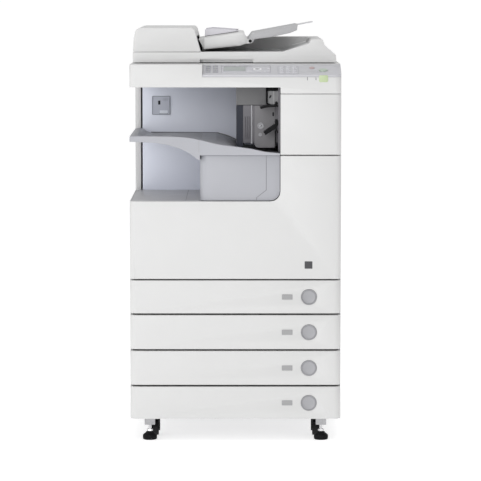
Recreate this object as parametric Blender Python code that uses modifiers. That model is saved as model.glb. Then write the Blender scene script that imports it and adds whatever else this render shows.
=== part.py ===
"""A floor-standing office photocopier with four paper drawers, a scanner and a document feeder.

The model is in metres. X points right, Y points to the back and Z points up. The origin is on
the floor under the middle of the machine. Every sub-part is one closed object.
"""

import math

import bmesh
import bpy
from mathutils import Matrix, Vector

# Fits
GAP = 0.0003  # between two pieces that rest on each other
SLIDE_GAP = 0.0005  # round a piece that turns or slides beside another

# Body
BODY_WIDTH = 0.565
BODY_DEPTH = 0.680
SKIN = 0.003  # side and rear covers
PANEL = 0.024  # depth of the front panels
PANEL_CORNER = 0.018  # upright front corners
COVER_GAP = 0.0025  # seam between two front covers
COVER_EDGE = 0.004  # rounded edge that a cover turns on
COVER_EASE = 0.002  # chamfer that clears the side covers as a front cover turns
BUTTON_PROUD = 0.001  # the drawer buttons are the foremost surfaces

LEFT, RIGHT = -BODY_WIDTH / 2, BODY_WIDTH / 2
FRONT, BACK = BUTTON_PROUD - BODY_DEPTH / 2, BODY_DEPTH / 2
PANEL_BACK = FRONT + PANEL
INSIDE_LEFT, INSIDE_RIGHT = LEFT + SKIN + GAP, RIGHT - SKIN - GAP
INSIDE_FRONT, INSIDE_BACK = PANEL_BACK + GAP, BACK - SKIN - GAP

# Stand
STAND_HEIGHT = 0.059
PAN_THICKNESS = 0.004
PAN_TOP = STAND_HEIGHT + PAN_THICKNESS
CASTER_X, CASTER_FRONT_Y, CASTER_BACK_Y = RIGHT - 0.0655, FRONT + 0.103, BACK - 0.070
WHEEL_RADIUS, WHEEL_WIDTH, WHEEL_TRAIL = 0.020, 0.016, 0.014
AXLE_RADIUS, CHEEK, STEM_RADIUS = 0.0035, 0.003, 0.007
FORK_FRONT, FORK_BACK, FORK_CROWN, FORK_TOP = 0.012, 0.010, 0.004, 0.006
PEDAL_LENGTH, PEDAL_THICKNESS, PEDAL_WIDTH, PEDAL_DROP = 0.022, 0.004, 0.018, 0.017
FOOT_X, FOOT_Y = RIGHT - 0.0515, FRONT + 0.043
FOOT_PAD_RADIUS, FOOT_PAD_HEIGHT = 0.019, 0.005
FOOT_HUB_RADIUS, FOOT_HUB_HEIGHT = 0.0075, 0.010
FOOT_STEM_RADIUS, FOOT_STEM_IN_BRACKET = 0.004, 0.006
FOOT_BRACKET, FOOT_BRACKET_DEPTH = 0.028, 0.018
FOOT_BRACKET_Z = STAND_HEIGHT - FOOT_BRACKET_DEPTH

# Drawers, from the lowest up
DRAWER_HEIGHTS = (0.0920, 0.0965, 0.0965, 0.0935)
DRAWER_SEAM = 0.005
BIN_WALL = 0.003
BIN_LIP = 0.020  # lip of each side of a bin, which runs on a rail
BIN_SIDE_GAP = 0.0022  # from a lip's edge to the side frame
BIN_UNDER, BIN_OVER = 0.012, 0.012  # bin's floor and rim inside its front panel's height
BIN_REAR_ROOM = 0.090
RAIL_REACH, RAIL_THICKNESS = 0.021, 0.004
BUTTON_RADIUS, BUTTON_LENGTH, BUTTON_ROOM, BUTTON_INSET = 0.0206, 0.012, 0.006, 0.0855

FRAME_FACE = INSIDE_RIGHT - GAP - SKIN  # inner face of the right side frame
LIP_EDGE = FRAME_FACE - BIN_SIDE_GAP
BIN_HALF_WIDTH = LIP_EDGE - BIN_LIP
BIN_END_Y = BACK - BIN_REAR_ROOM
BUTTON_X = RIGHT - BUTTON_INSET
DECK_Z = STAND_HEIGHT + sum(DRAWER_HEIGHTS)

# Upper body: heights of what stands on the engine deck, from the deck up
DECK_THICKNESS = 0.003
FLOOR_RISE, STEP_RISE, TONER_COVER_RISE, TOWER_STRIP_RISE = 0.2095, 0.123, 0.163, 0.018
FLOOR_THICKNESS = 0.007
TOWER_WIDTH, RECESS_DEPTH = 0.1625, 0.439
RECESS_CORNER = 0.026
COLUMN_WIDTH, COLUMN_GROOVE = 0.016, 0.0045

DECK_TOP = DECK_Z + DECK_THICKNESS
FLOOR_Z = DECK_Z + FLOOR_RISE  # floor of the delivery recess
FLOOR_UNDER = FLOOR_Z - FLOOR_THICKNESS
STEP_Z = FLOOR_Z + STEP_RISE  # seam between the two front covers beside the recess
TONER_COVER_TOP = STEP_Z + TONER_COVER_RISE
SCANNER_Z = TONER_COVER_TOP + TOWER_STRIP_RISE
RECESS_RIGHT, RECESS_BACK = RIGHT - TOWER_WIDTH, FRONT + RECESS_DEPTH
TOWER_LEFT = RECESS_RIGHT - 2 * GAP  # right edge of what stands in the recess

# Engine, with each roller's distance from the right side
ENGINE_PLATE, ENGINE_SETBACK, ENGINE_BACK_ROOM = 0.003, 0.039, 0.018
ENGINE_LEFT_ROOM, ENGINE_RIGHT_ROOM, ENGINE_TOWER_ROOM = 0.0205, 0.0165, 0.004
SHAFT_RADIUS, SHAFT_STUB, SHAFT_PAST = 0.006, 0.012, 0.006
DRUM_INSET, DRUM_BELOW_FLOOR, DRUM_RADIUS = 0.0775, 0.047, 0.030
FUSER_INSET, FUSER_ABOVE_FLOOR, FUSER_RADIUS = 0.0605, 0.058, 0.020
TONER_INSET, TONER_ABOVE_STEP, TONER_RADIUS, TONER_BOSS = 0.0825, 0.090, 0.040, 0.012
TONER_STUB, TONER_NECK = 0.010, 0.020

ENGINE_FRONT_Y, ENGINE_BACK_Y = FRONT + ENGINE_SETBACK, RECESS_BACK - ENGINE_BACK_ROOM
DRUM_X, DRUM_Z = RIGHT - DRUM_INSET, FLOOR_Z - DRUM_BELOW_FLOOR
FUSER_X, FUSER_Z = RIGHT - FUSER_INSET, FLOOR_Z + FUSER_ABOVE_FLOOR
TONER_X, TONER_Z = RIGHT - TONER_INSET, STEP_Z + TONER_ABOVE_STEP

# Delivery recess
DELIVERY_WIDTH, DELIVERY_SETBACK, DELIVERY_RISE, DELIVERY_WALL = 0.1174, 0.124, 0.027, 0.004
SUPPORT_WIDTH, SUPPORT_SETBACK, SUPPORT_CORNER, SUPPORT_WALL = 0.2134, 0.008, 0.020, 0.004
SUPPORT_LIFT = 0.0015  # over the front cover, whose edge rises a little as it starts to open
SERVICE_LEFT, SERVICE_WIDTH, SERVICE_RISE, SERVICE_HEIGHT = 0.0645, 0.056, 0.215, 0.050
SERVICE_PROUD = 0.002
EXIT_INSET, EXIT_RISE, EXIT_RADIUS, EXIT_SHAFT = 0.011, 0.015, 0.009, 0.004
EXIT_FRONT_ROOM, EXIT_BACK_ROOM, EXIT_BEARING = 0.025, 0.015, 0.008
FLAG_INSET, FLAG_SETBACK, FLAG_HUB, FLAG_WIDTH = 0.010, 0.049, 0.004, 0.006
FLAG_RISES = {"upper": 0.136, "lower": 0.087}

DELIVERY_LEFT, DELIVERY_FRONT = TOWER_LEFT - DELIVERY_WIDTH, FRONT + DELIVERY_SETBACK
DELIVERY_BOTTOM = STEP_Z + DELIVERY_RISE
SUPPORT_LEFT = TOWER_LEFT - SUPPORT_WIDTH
EXIT_X, EXIT_Z = DELIVERY_LEFT + EXIT_INSET, DELIVERY_BOTTOM + EXIT_RISE
EXIT_FRONT_Y = DELIVERY_FRONT + EXIT_FRONT_ROOM
EXIT_BACK_Y = RECESS_BACK - EXIT_BACK_ROOM
FLAG_X, FLAG_Y = RECESS_RIGHT - FLAG_INSET, FRONT + FLAG_SETBACK

# Right side and rear
DOOR_FRONT_Y, DOOR_BACK_Y = FRONT + 0.189, BACK - 0.090
DOOR_BOTTOM, DOOR_TOP = DECK_Z + 0.0125, SCANNER_Z - 0.026
DOOR_THICKNESS = 0.0125
BYPASS_MARGIN = 0.040
BYPASS_FRONT_Y, BYPASS_BACK_Y = DOOR_FRONT_Y + BYPASS_MARGIN, DOOR_BACK_Y - BYPASS_MARGIN
BYPASS_BOTTOM, BYPASS_TOP = DOOR_BOTTOM + 0.110, DOOR_TOP - 0.085
BYPASS_THICKNESS = 0.006
SWITCH_Y, SWITCH_Z = FRONT + 0.089, FLOOR_Z + 0.053
SWITCH_WIDTH, SWITCH_HEIGHT, SWITCH_DEPTH, SWITCH_ROOM = 0.014, 0.022, 0.009, 0.0015
INLET_X, INLET_Z = LEFT + 0.0825, STAND_HEIGHT + 0.051
INLET_WIDTH, INLET_HEIGHT, INLET_DEPTH, INLET_RIM = 0.048, 0.030, 0.020, 0.003

# Scanner
SCANNER_HEIGHT, SCANNER_WALL, SCANNER_FLOOR, SCANNER_LEDGE = 0.0605, 0.020, 0.006, 0.0042
SCANNER_TOP = SCANNER_Z + SCANNER_HEIGHT
SCANNER_FRONT_WALL_Y, SCANNER_BACK_WALL_Y = FRONT + 0.139, BACK - 0.028
GLASS_WIDTH, GLASS_DEPTH, GLASS_THICKNESS, GLASS_SEAT = 0.444, 0.355, 0.003, 0.005
GLASS_LEFT, GLASS_RIGHT = -GLASS_WIDTH / 2, GLASS_WIDTH / 2
GLASS_FRONT_Y = FRONT + 0.174
GLASS_BACK_Y = GLASS_FRONT_Y + GLASS_DEPTH
RAIL_YS = (GLASS_FRONT_Y + 0.045, GLASS_BACK_Y + 0.050)
SCAN_RAIL_WIDTH, SCAN_RAIL_HEIGHT = 0.008, 0.003
CARRIAGE_WIDTH, CARRIAGE_HEIGHT, CARRIAGE_PARK = 0.036, 0.034, 0.0085
CARRIAGE_X = LEFT + SCANNER_WALL + CARRIAGE_PARK + CARRIAGE_WIDTH / 2
CONTROL_WIDTH, CONTROL_DEPTH = 0.3705, 0.094
CONTROL_LEFT, CONTROL_BACK_Y = RIGHT - CONTROL_WIDTH, FRONT + CONTROL_DEPTH
CONTROL_BOTTOM, CONTROL_LIP = SCANNER_TOP - 0.0325, SCANNER_TOP - 0.0275
CONTROL_TOP = SCANNER_TOP - 0.0015
DISPLAY_LEFT, DISPLAY_RIGHT = CONTROL_LEFT + 0.051, CONTROL_LEFT + 0.182
DISPLAY_FROM, DISPLAY_TO = 0.022, 0.082  # up the panel's slope
DISPLAY_THICKNESS, DISPLAY_PROUD = 0.003, 0.001
KEY_DEPTH, KEY_LENGTH, KEY_PROUD = 0.009, 0.006, 0.0025
START_X, START_UP, START_RADIUS = RIGHT - 0.0475, 0.042, 0.011
STOP_X, STOP_UP, STOP_RADIUS = RIGHT - 0.0775, 0.062, 0.007

# Document feeder
LID_GAP = 0.0025
LID_Z = SCANNER_TOP + LID_GAP
LID_FRONT_Y, LID_BACK_Y = FRONT + 0.114, BACK - 0.040
LID_LEFT, LID_RIGHT = LEFT + 0.0055, RIGHT - 0.0101
WELL_Z, RIM_Z = LID_Z + 0.028, LID_Z + 0.062
WELL_LEFT, WELL_BACK_Y = LID_LEFT + 0.192, LID_BACK_Y - 0.095
PAD_THICKNESS, PAD_MARGIN = 0.010, 0.004
GRIP_LEFT, GRIP_WIDTH, GRIP_DEPTH, GRIP_HEIGHT = WELL_LEFT - 0.0106, 0.143, 0.022, 0.009
HINGE_SPREAD, HINGE_ARM, HINGE_LUG = 0.170, 0.036, 0.010
HINGE_Y, HINGE_Z = BACK - 0.018, SCANNER_TOP + 0.0135
HINGE_RADIUS, HINGE_PIN = 0.010, 0.003
FEEDER_RIGHT, FEEDER_RIGHT_TOP = LID_LEFT + 0.1837, LID_LEFT + 0.1654
FEEDER_TOP, FEEDER_WALL = LID_Z + 0.093, 0.003
ENTRY_HEIGHT = 0.0403  # slot in the feeder cover that takes the originals
TRAY_FRONT_Y, TRAY_EAR = LID_FRONT_Y + 0.050, 0.005
TRAY_PIVOT_X, TRAY_PIVOT_Z = WELL_LEFT + 0.125, WELL_Z + 0.029
TRAY_LUG, TRAY_PIN, TRAY_BLOCK_PAST = 0.006, 0.0025, 0.010
TRAY_SLOPE = math.radians(10.6)
EXTENSION_LENGTH, EXTENSION_WIDTH, EXTENSION_THICKNESS = 0.100, 0.120, 0.0024
EXTENSION_END_X, EXTENSION_END_Z = TRAY_PIVOT_X + 0.1735, TRAY_PIVOT_Z + 0.0505
EXTENSION_PULL = 0.045
GUIDE_SPREAD, GUIDE_THICKNESS, GUIDE_FOOT, GUIDE_FOOT_HEIGHT = 0.150, 0.003, 0.026, 0.002
GUIDE_LEFT, GUIDE_RIGHT, GUIDE_HEIGHT = WELL_LEFT + 0.013, WELL_LEFT + 0.079, 0.012

ALONG = {
    "X": Matrix(((0, 0, 1, 0), (1, 0, 0, 0), (0, 1, 0, 0), (0, 0, 0, 1))),
    "Y": Matrix(((1, 0, 0, 0), (0, 0, -1, 0), (0, 1, 0, 0), (0, 0, 0, 1))),
    "Z": Matrix.Identity(4),
}

# Name, colour, roughness and metallic value of each material
FINISHES = {
    "white_plastic": ((0.80, 0.80, 0.79), 0.45, 0.0),
    "grey_plastic": ((0.52, 0.53, 0.56), 0.45, 0.0),
    "panel_grey": ((0.42, 0.47, 0.53), 0.50, 0.0),
    "dark_plastic": ((0.11, 0.11, 0.12), 0.50, 0.0),
    "black_plastic": ((0.02, 0.02, 0.02), 0.45, 0.0),
    "button_grey": ((0.46, 0.46, 0.47), 0.40, 0.0),
    "steel": ((0.55, 0.56, 0.57), 0.35, 1.0),
    "wheel_black": ((0.03, 0.03, 0.03), 0.60, 0.0),
    "platen_glass": ((0.55, 0.60, 0.60), 0.05, 0.0),
    "display": ((0.12, 0.15, 0.16), 0.15, 0.0),
    "pad_white": ((0.85, 0.85, 0.84), 0.80, 0.0),
    "drum_green": ((0.05, 0.32, 0.24), 0.20, 0.0),
    "fuser_red": ((0.30, 0.07, 0.04), 0.45, 0.0),
    "roller_rubber": ((0.10, 0.10, 0.10), 0.75, 0.0),
    "toner_blue": ((0.10, 0.12, 0.16), 0.40, 0.0),
    "start_green": ((0.10, 0.50, 0.20), 0.35, 0.0),
    "stop_red": ((0.60, 0.12, 0.08), 0.35, 0.0),
}


def clear_scene():
    for obj in list(bpy.data.objects):
        bpy.data.objects.remove(obj)


def new_collection(name):
    group = bpy.data.collections.new(name)
    bpy.context.scene.collection.children.link(group)
    return group


def material(name):
    """The material of that name, made the first time it is asked for."""
    found = bpy.data.materials.get(name)
    if found:
        return found
    colour, roughness, metallic = FINISHES[name]
    made = bpy.data.materials.new(name)
    made.use_nodes = True
    shader = made.node_tree.nodes["Principled BSDF"]
    shader.inputs["Base Color"].default_value = (*colour, 1)
    shader.inputs["Roughness"].default_value = roughness
    shader.inputs["Metallic"].default_value = metallic
    return made


def add(name, mesh, finish=None):
    """An object in the machine's collection or, with no finish, a hidden helper for a Boolean."""
    obj = bpy.data.objects.new(name, mesh)
    if finish:
        mesh.materials.append(material(finish))
        bpy.data.collections["photocopier"].objects.link(obj)
    else:
        bpy.data.collections["cutters"].objects.link(obj)
        obj.hide_render = True
        obj.display_type = "WIRE"
    return obj


def box(name, low, high, finish=None):
    """A box between two opposite corners."""
    shape = bmesh.new()
    bmesh.ops.create_cube(shape, size=1)
    low, high = Vector(low), Vector(high)
    bmesh.ops.scale(shape, vec=high - low, verts=shape.verts)
    bmesh.ops.translate(shape, vec=(low + high) / 2, verts=shape.verts)
    mesh = bpy.data.meshes.new(name)
    shape.to_mesh(mesh)
    shape.free()
    return add(name, mesh, finish)


def cylinder(name, start, end, radius, finish=None, segments=24):
    """A round bar between two points."""
    start, end = Vector(start), Vector(end)
    turn = Vector((0, 0, 1)).rotation_difference(end - start).to_matrix().to_4x4()
    shape = bmesh.new()
    bmesh.ops.create_cone(
        shape,
        cap_ends=True,
        segments=segments,
        radius1=radius,
        radius2=radius,
        depth=(end - start).length,
        matrix=Matrix.Translation((start + end) / 2) @ turn,
    )
    mesh = bpy.data.meshes.new(name)
    shape.to_mesh(mesh)
    shape.free()
    obj = add(name, mesh, finish)
    smooth(obj)
    return obj


def turned(name, profile, base, direction, finish=None, segments=24):
    """A turned piece on a Screw modifier. The profile is (radius, height), from the top down."""
    mesh = bpy.data.meshes.new(name)
    points = [(radius, 0, height) for radius, height in profile]
    mesh.from_pydata(points, [(i, i + 1) for i in range(len(points) - 1)], [])
    obj = add(name, mesh, finish)
    turn = Vector((0, 0, 1)).rotation_difference(Vector(direction))
    obj.rotation_euler = turn.to_euler()
    obj.location = base
    screw = obj.modifiers.new("Screw", "SCREW")
    screw.steps = screw.render_steps = segments
    screw.use_merge_vertices = True
    screw.merge_threshold = 0.00001
    return obj


def rounded(corners, steps=4):
    """Outline points: each corner is (u, v) or, to be rounded, (u, v, radius)."""
    points = []
    for i, corner in enumerate(corners):
        here = Vector(corner[:2])
        if len(corner) == 2:
            points.append(here)
            continue
        radius = corner[2]
        before = (Vector(corners[i - 1][:2]) - here).normalized()
        after = (Vector(corners[(i + 1) % len(corners)][:2]) - here).normalized()
        half = before.angle(after) / 2
        centre = here + (before + after).normalized() * radius / math.sin(half)
        start = here + before * radius / math.tan(half) - centre
        end = here + after * radius / math.tan(half) - centre
        sweep = math.atan2(start.x * end.y - start.y * end.x, start.dot(end))
        first = math.atan2(start.y, start.x)
        for k in range(steps + 1):
            angle = first + sweep * k / steps
            points.append(centre + Vector((math.cos(angle), math.sin(angle))) * radius)
    return points


def prism(name, corners, axis, low, high, finish=None):
    """A flat outline given a thickness along an axis. Its corners are in the other two axes,
    in X, Y, Z order: X and Z for axis Y, Y and Z for axis X."""
    points = rounded(corners)
    curve = bpy.data.curves.new(name, "CURVE")
    curve.dimensions = "2D"
    curve.fill_mode = "BOTH"
    curve.extrude = (high - low) / 2
    spline = curve.splines.new("POLY")
    spline.points.add(len(points) - 1)
    spline.use_cyclic_u = True
    for spot, point in zip(spline.points, points):
        spot.co = (*point, 0, 1)
    flat = bpy.data.objects.new(name, curve)
    bpy.context.scene.collection.objects.link(flat)
    seen = flat.evaluated_get(bpy.context.evaluated_depsgraph_get())
    mesh = bpy.data.meshes.new_from_object(seen)
    bpy.data.objects.remove(flat)
    middle = (low + high) / 2
    place = ALONG[axis] @ Matrix.Translation((0, 0, -middle if axis == "Y" else middle))
    shape = bmesh.new()
    shape.from_mesh(mesh)
    bmesh.ops.remove_doubles(shape, verts=shape.verts, dist=0.00001)
    bmesh.ops.transform(shape, matrix=place, verts=shape.verts)
    bmesh.ops.recalc_face_normals(shape, faces=shape.faces)
    shape.to_mesh(mesh)
    shape.free()
    mesh.materials.clear()
    return add(name, mesh, finish)


def smooth(obj):
    obj.data.shade_smooth()
    obj.data.set_sharp_from_angle(angle=math.radians(30))


def combine(obj, other, operation):
    step = obj.modifiers.new(operation.title(), "BOOLEAN")
    step.operation = operation
    step.solver = "EXACT"
    step.object = other


def join(obj, *others):
    for other in others:
        combine(obj, other, "UNION")


def cut(obj, *others):
    for other in others:
        combine(obj, other, "DIFFERENCE")


def set_origin(obj, point):
    """Puts an unrotated object's origin at a point, such as one on its joint's axis."""
    shift = Vector(point) - obj.location
    obj.data.transform(Matrix.Translation(-shift))
    obj.location = point


def attach(child, parent):
    """Parents without moving the child. Parents here are never rotated."""
    child.parent = parent
    child.matrix_parent_inverse = Matrix.Translation(-parent.location)


def front_panel(name, left, right, bottom, top, finish):
    """A front panel, rounded in plan at each end that reaches the side of the body."""
    near_left = (left, FRONT, PANEL_CORNER) if left == LEFT else (left, FRONT)
    near_right = (right, FRONT, PANEL_CORNER) if right == RIGHT else (right, FRONT)
    plan = [near_left, near_right, (right, PANEL_BACK), (left, PANEL_BACK)]
    return prism(name, plan, "Z", bottom, top, finish)


def hinge_edge_cuts(name, bottom):
    """What a cover loses so that its front lower edge is round about its hinge axis, and so
    that its back lower edge turns clear of the side covers."""
    over = 0.01
    corner = [
        (FRONT - over, bottom - over),
        (FRONT + COVER_EDGE, bottom - over),
        (FRONT + COVER_EDGE, bottom),
    ]
    for k in range(1, 4):
        angle = math.radians(270 - 90 * k / 4)
        y = FRONT + COVER_EDGE + COVER_EDGE * math.cos(angle)
        corner.append((y, bottom + COVER_EDGE + COVER_EDGE * math.sin(angle)))
    corner += [(FRONT, bottom + COVER_EDGE), (FRONT - over, bottom + COVER_EDGE)]
    ease = [
        (PANEL_BACK - COVER_EASE - over, bottom - over),
        (PANEL_BACK + over, bottom - over),
        (PANEL_BACK + over, bottom + COVER_EASE + over),
    ]
    ends = LEFT - over, RIGHT + over
    return prism(name, corner, "X", *ends), prism(f"{name}_ease", ease, "X", *ends)


# Stand ------------------------------------------------------------------------------------


def base_pan():
    pan = box(
        "base_pan",
        (INSIDE_LEFT, INSIDE_FRONT, STAND_HEIGHT),
        (INSIDE_RIGHT, INSIDE_BACK, PAN_TOP),
        "steel",
    )
    half = FOOT_BRACKET / 2
    for x in (-FOOT_X, FOOT_X):
        bracket = box(
            "foot_bracket_block",
            (x - half, FOOT_Y - half, FOOT_BRACKET_Z),
            (x + half, FOOT_Y + half, STAND_HEIGHT + PAN_THICKNESS / 2),
        )
        bore = cylinder(
            "foot_stem_bore",
            (x, FOOT_Y, FOOT_BRACKET_Z - PAN_THICKNESS),
            (x, FOOT_Y, PAN_TOP + PAN_THICKNESS),
            FOOT_STEM_RADIUS + SLIDE_GAP,
        )
        join(pan, bracket)
        cut(pan, bore)
    return pan


def levelling_foot(side, x):
    hub_top = FOOT_PAD_HEIGHT + FOOT_HUB_HEIGHT
    stem_top = FOOT_BRACKET_Z + FOOT_STEM_IN_BRACKET
    profile = [
        (0, stem_top),
        (FOOT_STEM_RADIUS, stem_top),
        (FOOT_STEM_RADIUS, hub_top),
        (FOOT_HUB_RADIUS, hub_top),
        (FOOT_HUB_RADIUS, FOOT_PAD_HEIGHT),
        (FOOT_PAD_RADIUS, FOOT_PAD_HEIGHT),
        (FOOT_PAD_RADIUS, 0),
        (0, 0),
    ]
    return turned(
        f"levelling_foot_{side}", profile, (x, FOOT_Y, 0), (0, 0, 1), "black_plastic"
    )


def caster_fork(place, x, y):
    """Swivel fork: two cheeks, a crown, the axle between the cheeks and the swivel stem."""
    half = WHEEL_WIDTH / 2 + SLIDE_GAP + CHEEK
    crown = 2 * WHEEL_RADIUS + FORK_CROWN
    top = STAND_HEIGHT - FORK_TOP
    axle_y, eye = y + WHEEL_TRAIL, 2 * AXLE_RADIUS
    side = [
        (axle_y - eye - 0.001, WHEEL_RADIUS - eye, 0.006),
        (axle_y + eye + 0.001, WHEEL_RADIUS - eye, 0.006),
        (axle_y + FORK_BACK, top),
        (y - FORK_FRONT, top),
        (y - FORK_FRONT, crown - FORK_TOP),
    ]
    fork = prism(f"caster_fork_{place}", side, "X", x - half, x + half, "black_plastic")
    slot = box(
        "fork_slot",
        (x - half + CHEEK, y - 2 * WHEEL_RADIUS, -CHEEK),
        (x + half - CHEEK, axle_y + 2 * WHEEL_RADIUS, crown),
    )
    axle = cylinder(
        "fork_axle",
        (x - half + CHEEK / 2, axle_y, WHEEL_RADIUS),
        (x + half - CHEEK / 2, axle_y, WHEEL_RADIUS),
        AXLE_RADIUS,
        segments=16,
    )
    stem = cylinder(
        "fork_stem",
        (x, y, top - CHEEK / 2),
        (x, y, STAND_HEIGHT - GAP),
        STEM_RADIUS,
        segments=16,
    )
    cut(fork, slot)
    join(fork, axle, stem)
    set_origin(fork, (x, y, 0))
    return fork


def caster_wheel(place, x, y, fork):
    half = WHEEL_WIDTH / 2
    centre = (x, y + WHEEL_TRAIL, WHEEL_RADIUS)
    wheel = cylinder(
        f"caster_wheel_{place}",
        (x - half, *centre[1:]),
        (x + half, *centre[1:]),
        WHEEL_RADIUS,
        "wheel_black",
        segments=32,
    )
    bore = cylinder(
        "wheel_bore",
        (x - 2 * half, *centre[1:]),
        (x + 2 * half, *centre[1:]),
        AXLE_RADIUS + SLIDE_GAP,
        segments=16,
    )
    cut(wheel, bore)
    set_origin(wheel, centre)
    attach(wheel, fork)
    return wheel


def brake_pedal(side, x, fork):
    """Foot pedal in front of a front caster's fork. It turns on its back edge."""
    back = CASTER_FRONT_Y - FORK_FRONT - SLIDE_GAP
    low = STAND_HEIGHT - PEDAL_DROP
    outline = [
        (back, low),
        (back, low + 1.75 * PEDAL_THICKNESS),
        (back - PEDAL_LENGTH, low),
        (back - PEDAL_LENGTH, low - PEDAL_THICKNESS),
    ]
    half = PEDAL_WIDTH / 2
    pedal = prism(
        f"brake_pedal_{side}", outline, "X", x - half, x + half, "black_plastic"
    )
    set_origin(pedal, (x, back, low + PEDAL_THICKNESS / 2))
    attach(pedal, fork)
    return pedal


def stand():
    base_pan()
    for side, sign in (("left", -1), ("right", 1)):
        levelling_foot(side, sign * FOOT_X)
        for end, y in (("front", CASTER_FRONT_Y), ("back", CASTER_BACK_Y)):
            place, x = f"{end}_{side}", sign * CASTER_X
            fork = caster_fork(place, x, y)
            caster_wheel(place, x, y, fork)
            if end == "front":
                brake_pedal(side, x, fork)


# Drawers ----------------------------------------------------------------------------------


def drawer_levels():
    """The lower and upper edge of each drawer's front panel, from the lowest up."""
    level = STAND_HEIGHT
    levels = []
    for height in DRAWER_HEIGHTS:
        levels.append((level + DRAWER_SEAM / 2, level + height - DRAWER_SEAM / 2))
        level += height
    return levels


def drawer(number, bottom, top):
    """Front panel and paper bin in one moulding, with a lip on each side that runs on a rail."""
    floor, rim = bottom + BIN_UNDER, top - BIN_OVER
    front = front_panel(f"drawer_{number}", LEFT, RIGHT, bottom, top, "white_plastic")
    block = box(
        "bin_block",
        (-BIN_HALF_WIDTH, PANEL_BACK - BIN_WALL, floor),
        (BIN_HALF_WIDTH, BIN_END_Y, rim),
    )
    lips = box(
        "bin_lips",
        (-LIP_EDGE, PANEL_BACK - BIN_WALL, rim - BIN_WALL),
        (LIP_EDGE, BIN_END_Y, rim),
    )
    inside = BIN_HALF_WIDTH - BIN_WALL
    cavity = box(
        "bin_cavity",
        (-inside, PANEL_BACK + BIN_WALL, floor + BIN_WALL),
        (inside, BIN_END_Y - BIN_WALL, rim + BIN_WALL),
    )
    middle = (bottom + top) / 2
    pocket = cylinder(
        "button_pocket",
        (BUTTON_X, FRONT - BUTTON_PROUD, middle),
        (BUTTON_X, FRONT + BUTTON_LENGTH + BUTTON_ROOM, middle),
        BUTTON_RADIUS + SLIDE_GAP,
        segments=32,
    )
    join(front, block, lips)
    cut(front, cavity, pocket)
    set_origin(front, (0, FRONT, middle))
    button = cylinder(
        f"drawer_button_{number}",
        (BUTTON_X, FRONT - BUTTON_PROUD, middle),
        (BUTTON_X, FRONT + BUTTON_LENGTH, middle),
        BUTTON_RADIUS,
        "button_grey",
        segments=32,
    )
    set_origin(button, (BUTTON_X, FRONT - BUTTON_PROUD, middle))
    attach(button, front)


def side_frame(name, sign):
    """Upright plate beside the bins with one rail ledge under each bin's lip."""
    outer, inner = FRAME_FACE + SKIN, FRAME_FACE
    top = DECK_Z - GAP
    corners = [(outer, PAN_TOP + GAP), (inner, PAN_TOP + GAP)]
    for bottom, panel_top in drawer_levels():
        ledge = panel_top - BIN_OVER - BIN_WALL - GAP
        corners += [
            (inner, ledge - RAIL_THICKNESS),
            (inner - RAIL_REACH, ledge - RAIL_THICKNESS),
            (inner - RAIL_REACH, ledge),
            (inner, ledge),
        ]
    corners += [(inner, top), (outer, top)]
    placed = [(sign * x, z) for x, z in corners]
    prism(name, placed, "Y", INSIDE_FRONT, INSIDE_BACK, "steel")


def drawers():
    side_frame("left_side_frame", -1)
    side_frame("right_side_frame", 1)
    for index, (bottom, top) in enumerate(drawer_levels()):
        drawer(len(DRAWER_HEIGHTS) - index, bottom, top)


# Body covers ------------------------------------------------------------------------------


def left_cover():
    """Side cover, low beside the open recess, with the column that stands behind it."""
    cover = box(
        "left_cover",
        (LEFT, INSIDE_FRONT, STAND_HEIGHT + GAP),
        (LEFT + SKIN, INSIDE_BACK, FLOOR_Z),
        "white_plastic",
    )
    column = box(
        "left_column",
        (LEFT, RECESS_BACK, FLOOR_Z - SKIN),
        (LEFT + COLUMN_WIDTH, INSIDE_BACK, SCANNER_Z - GAP),
    )
    join(cover, column)


def right_cover():
    cover = box(
        "right_cover",
        (RIGHT - SKIN, INSIDE_FRONT, STAND_HEIGHT + GAP),
        (RIGHT, INSIDE_BACK, SCANNER_Z - GAP),
        "white_plastic",
    )
    door_hole = box(
        "door_hole",
        (RIGHT - 2 * SKIN, DOOR_FRONT_Y - SLIDE_GAP, DOOR_BOTTOM - SLIDE_GAP),
        (RIGHT + SKIN, DOOR_BACK_Y + SLIDE_GAP, DOOR_TOP + SLIDE_GAP),
    )
    half_y, half_z = SWITCH_WIDTH / 2 + GAP, SWITCH_HEIGHT / 2 + SWITCH_ROOM
    switch_hole = box(
        "switch_hole",
        (RIGHT - 2 * SKIN, SWITCH_Y - half_y, SWITCH_Z - half_z),
        (RIGHT + SKIN, SWITCH_Y + half_y, SWITCH_Z + half_z),
    )
    cut(cover, door_hole, switch_hole)


def rear_cover():
    cover = box(
        "rear_cover",
        (LEFT, BACK - SKIN, STAND_HEIGHT + GAP),
        (RIGHT, BACK, SCANNER_Z - GAP),
        "white_plastic",
    )
    half_x, half_z = INLET_WIDTH / 2 + GAP, INLET_HEIGHT / 2 + GAP
    inlet_hole = box(
        "inlet_hole",
        (INLET_X - half_x, BACK - 2 * SKIN, INLET_Z - half_z),
        (INLET_X + half_x, BACK + SKIN, INLET_Z + half_z),
    )
    cut(cover, inlet_hole)


def power_inlet():
    """Socket block in the rear cover, open to the back."""
    half_x, half_z = INLET_WIDTH / 2, INLET_HEIGHT / 2
    inlet = box(
        "power_inlet",
        (INLET_X - half_x, BACK - INLET_DEPTH, INLET_Z - half_z),
        (INLET_X + half_x, BACK, INLET_Z + half_z),
        "black_plastic",
    )
    socket = box(
        "socket_space",
        (INLET_X - half_x + INLET_RIM, BACK - INLET_DEPTH + INLET_RIM, INLET_Z - half_z + INLET_RIM),
        (INLET_X + half_x - INLET_RIM, BACK + INLET_RIM, INLET_Z + half_z - INLET_RIM),
    )
    cut(inlet, socket)


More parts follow.
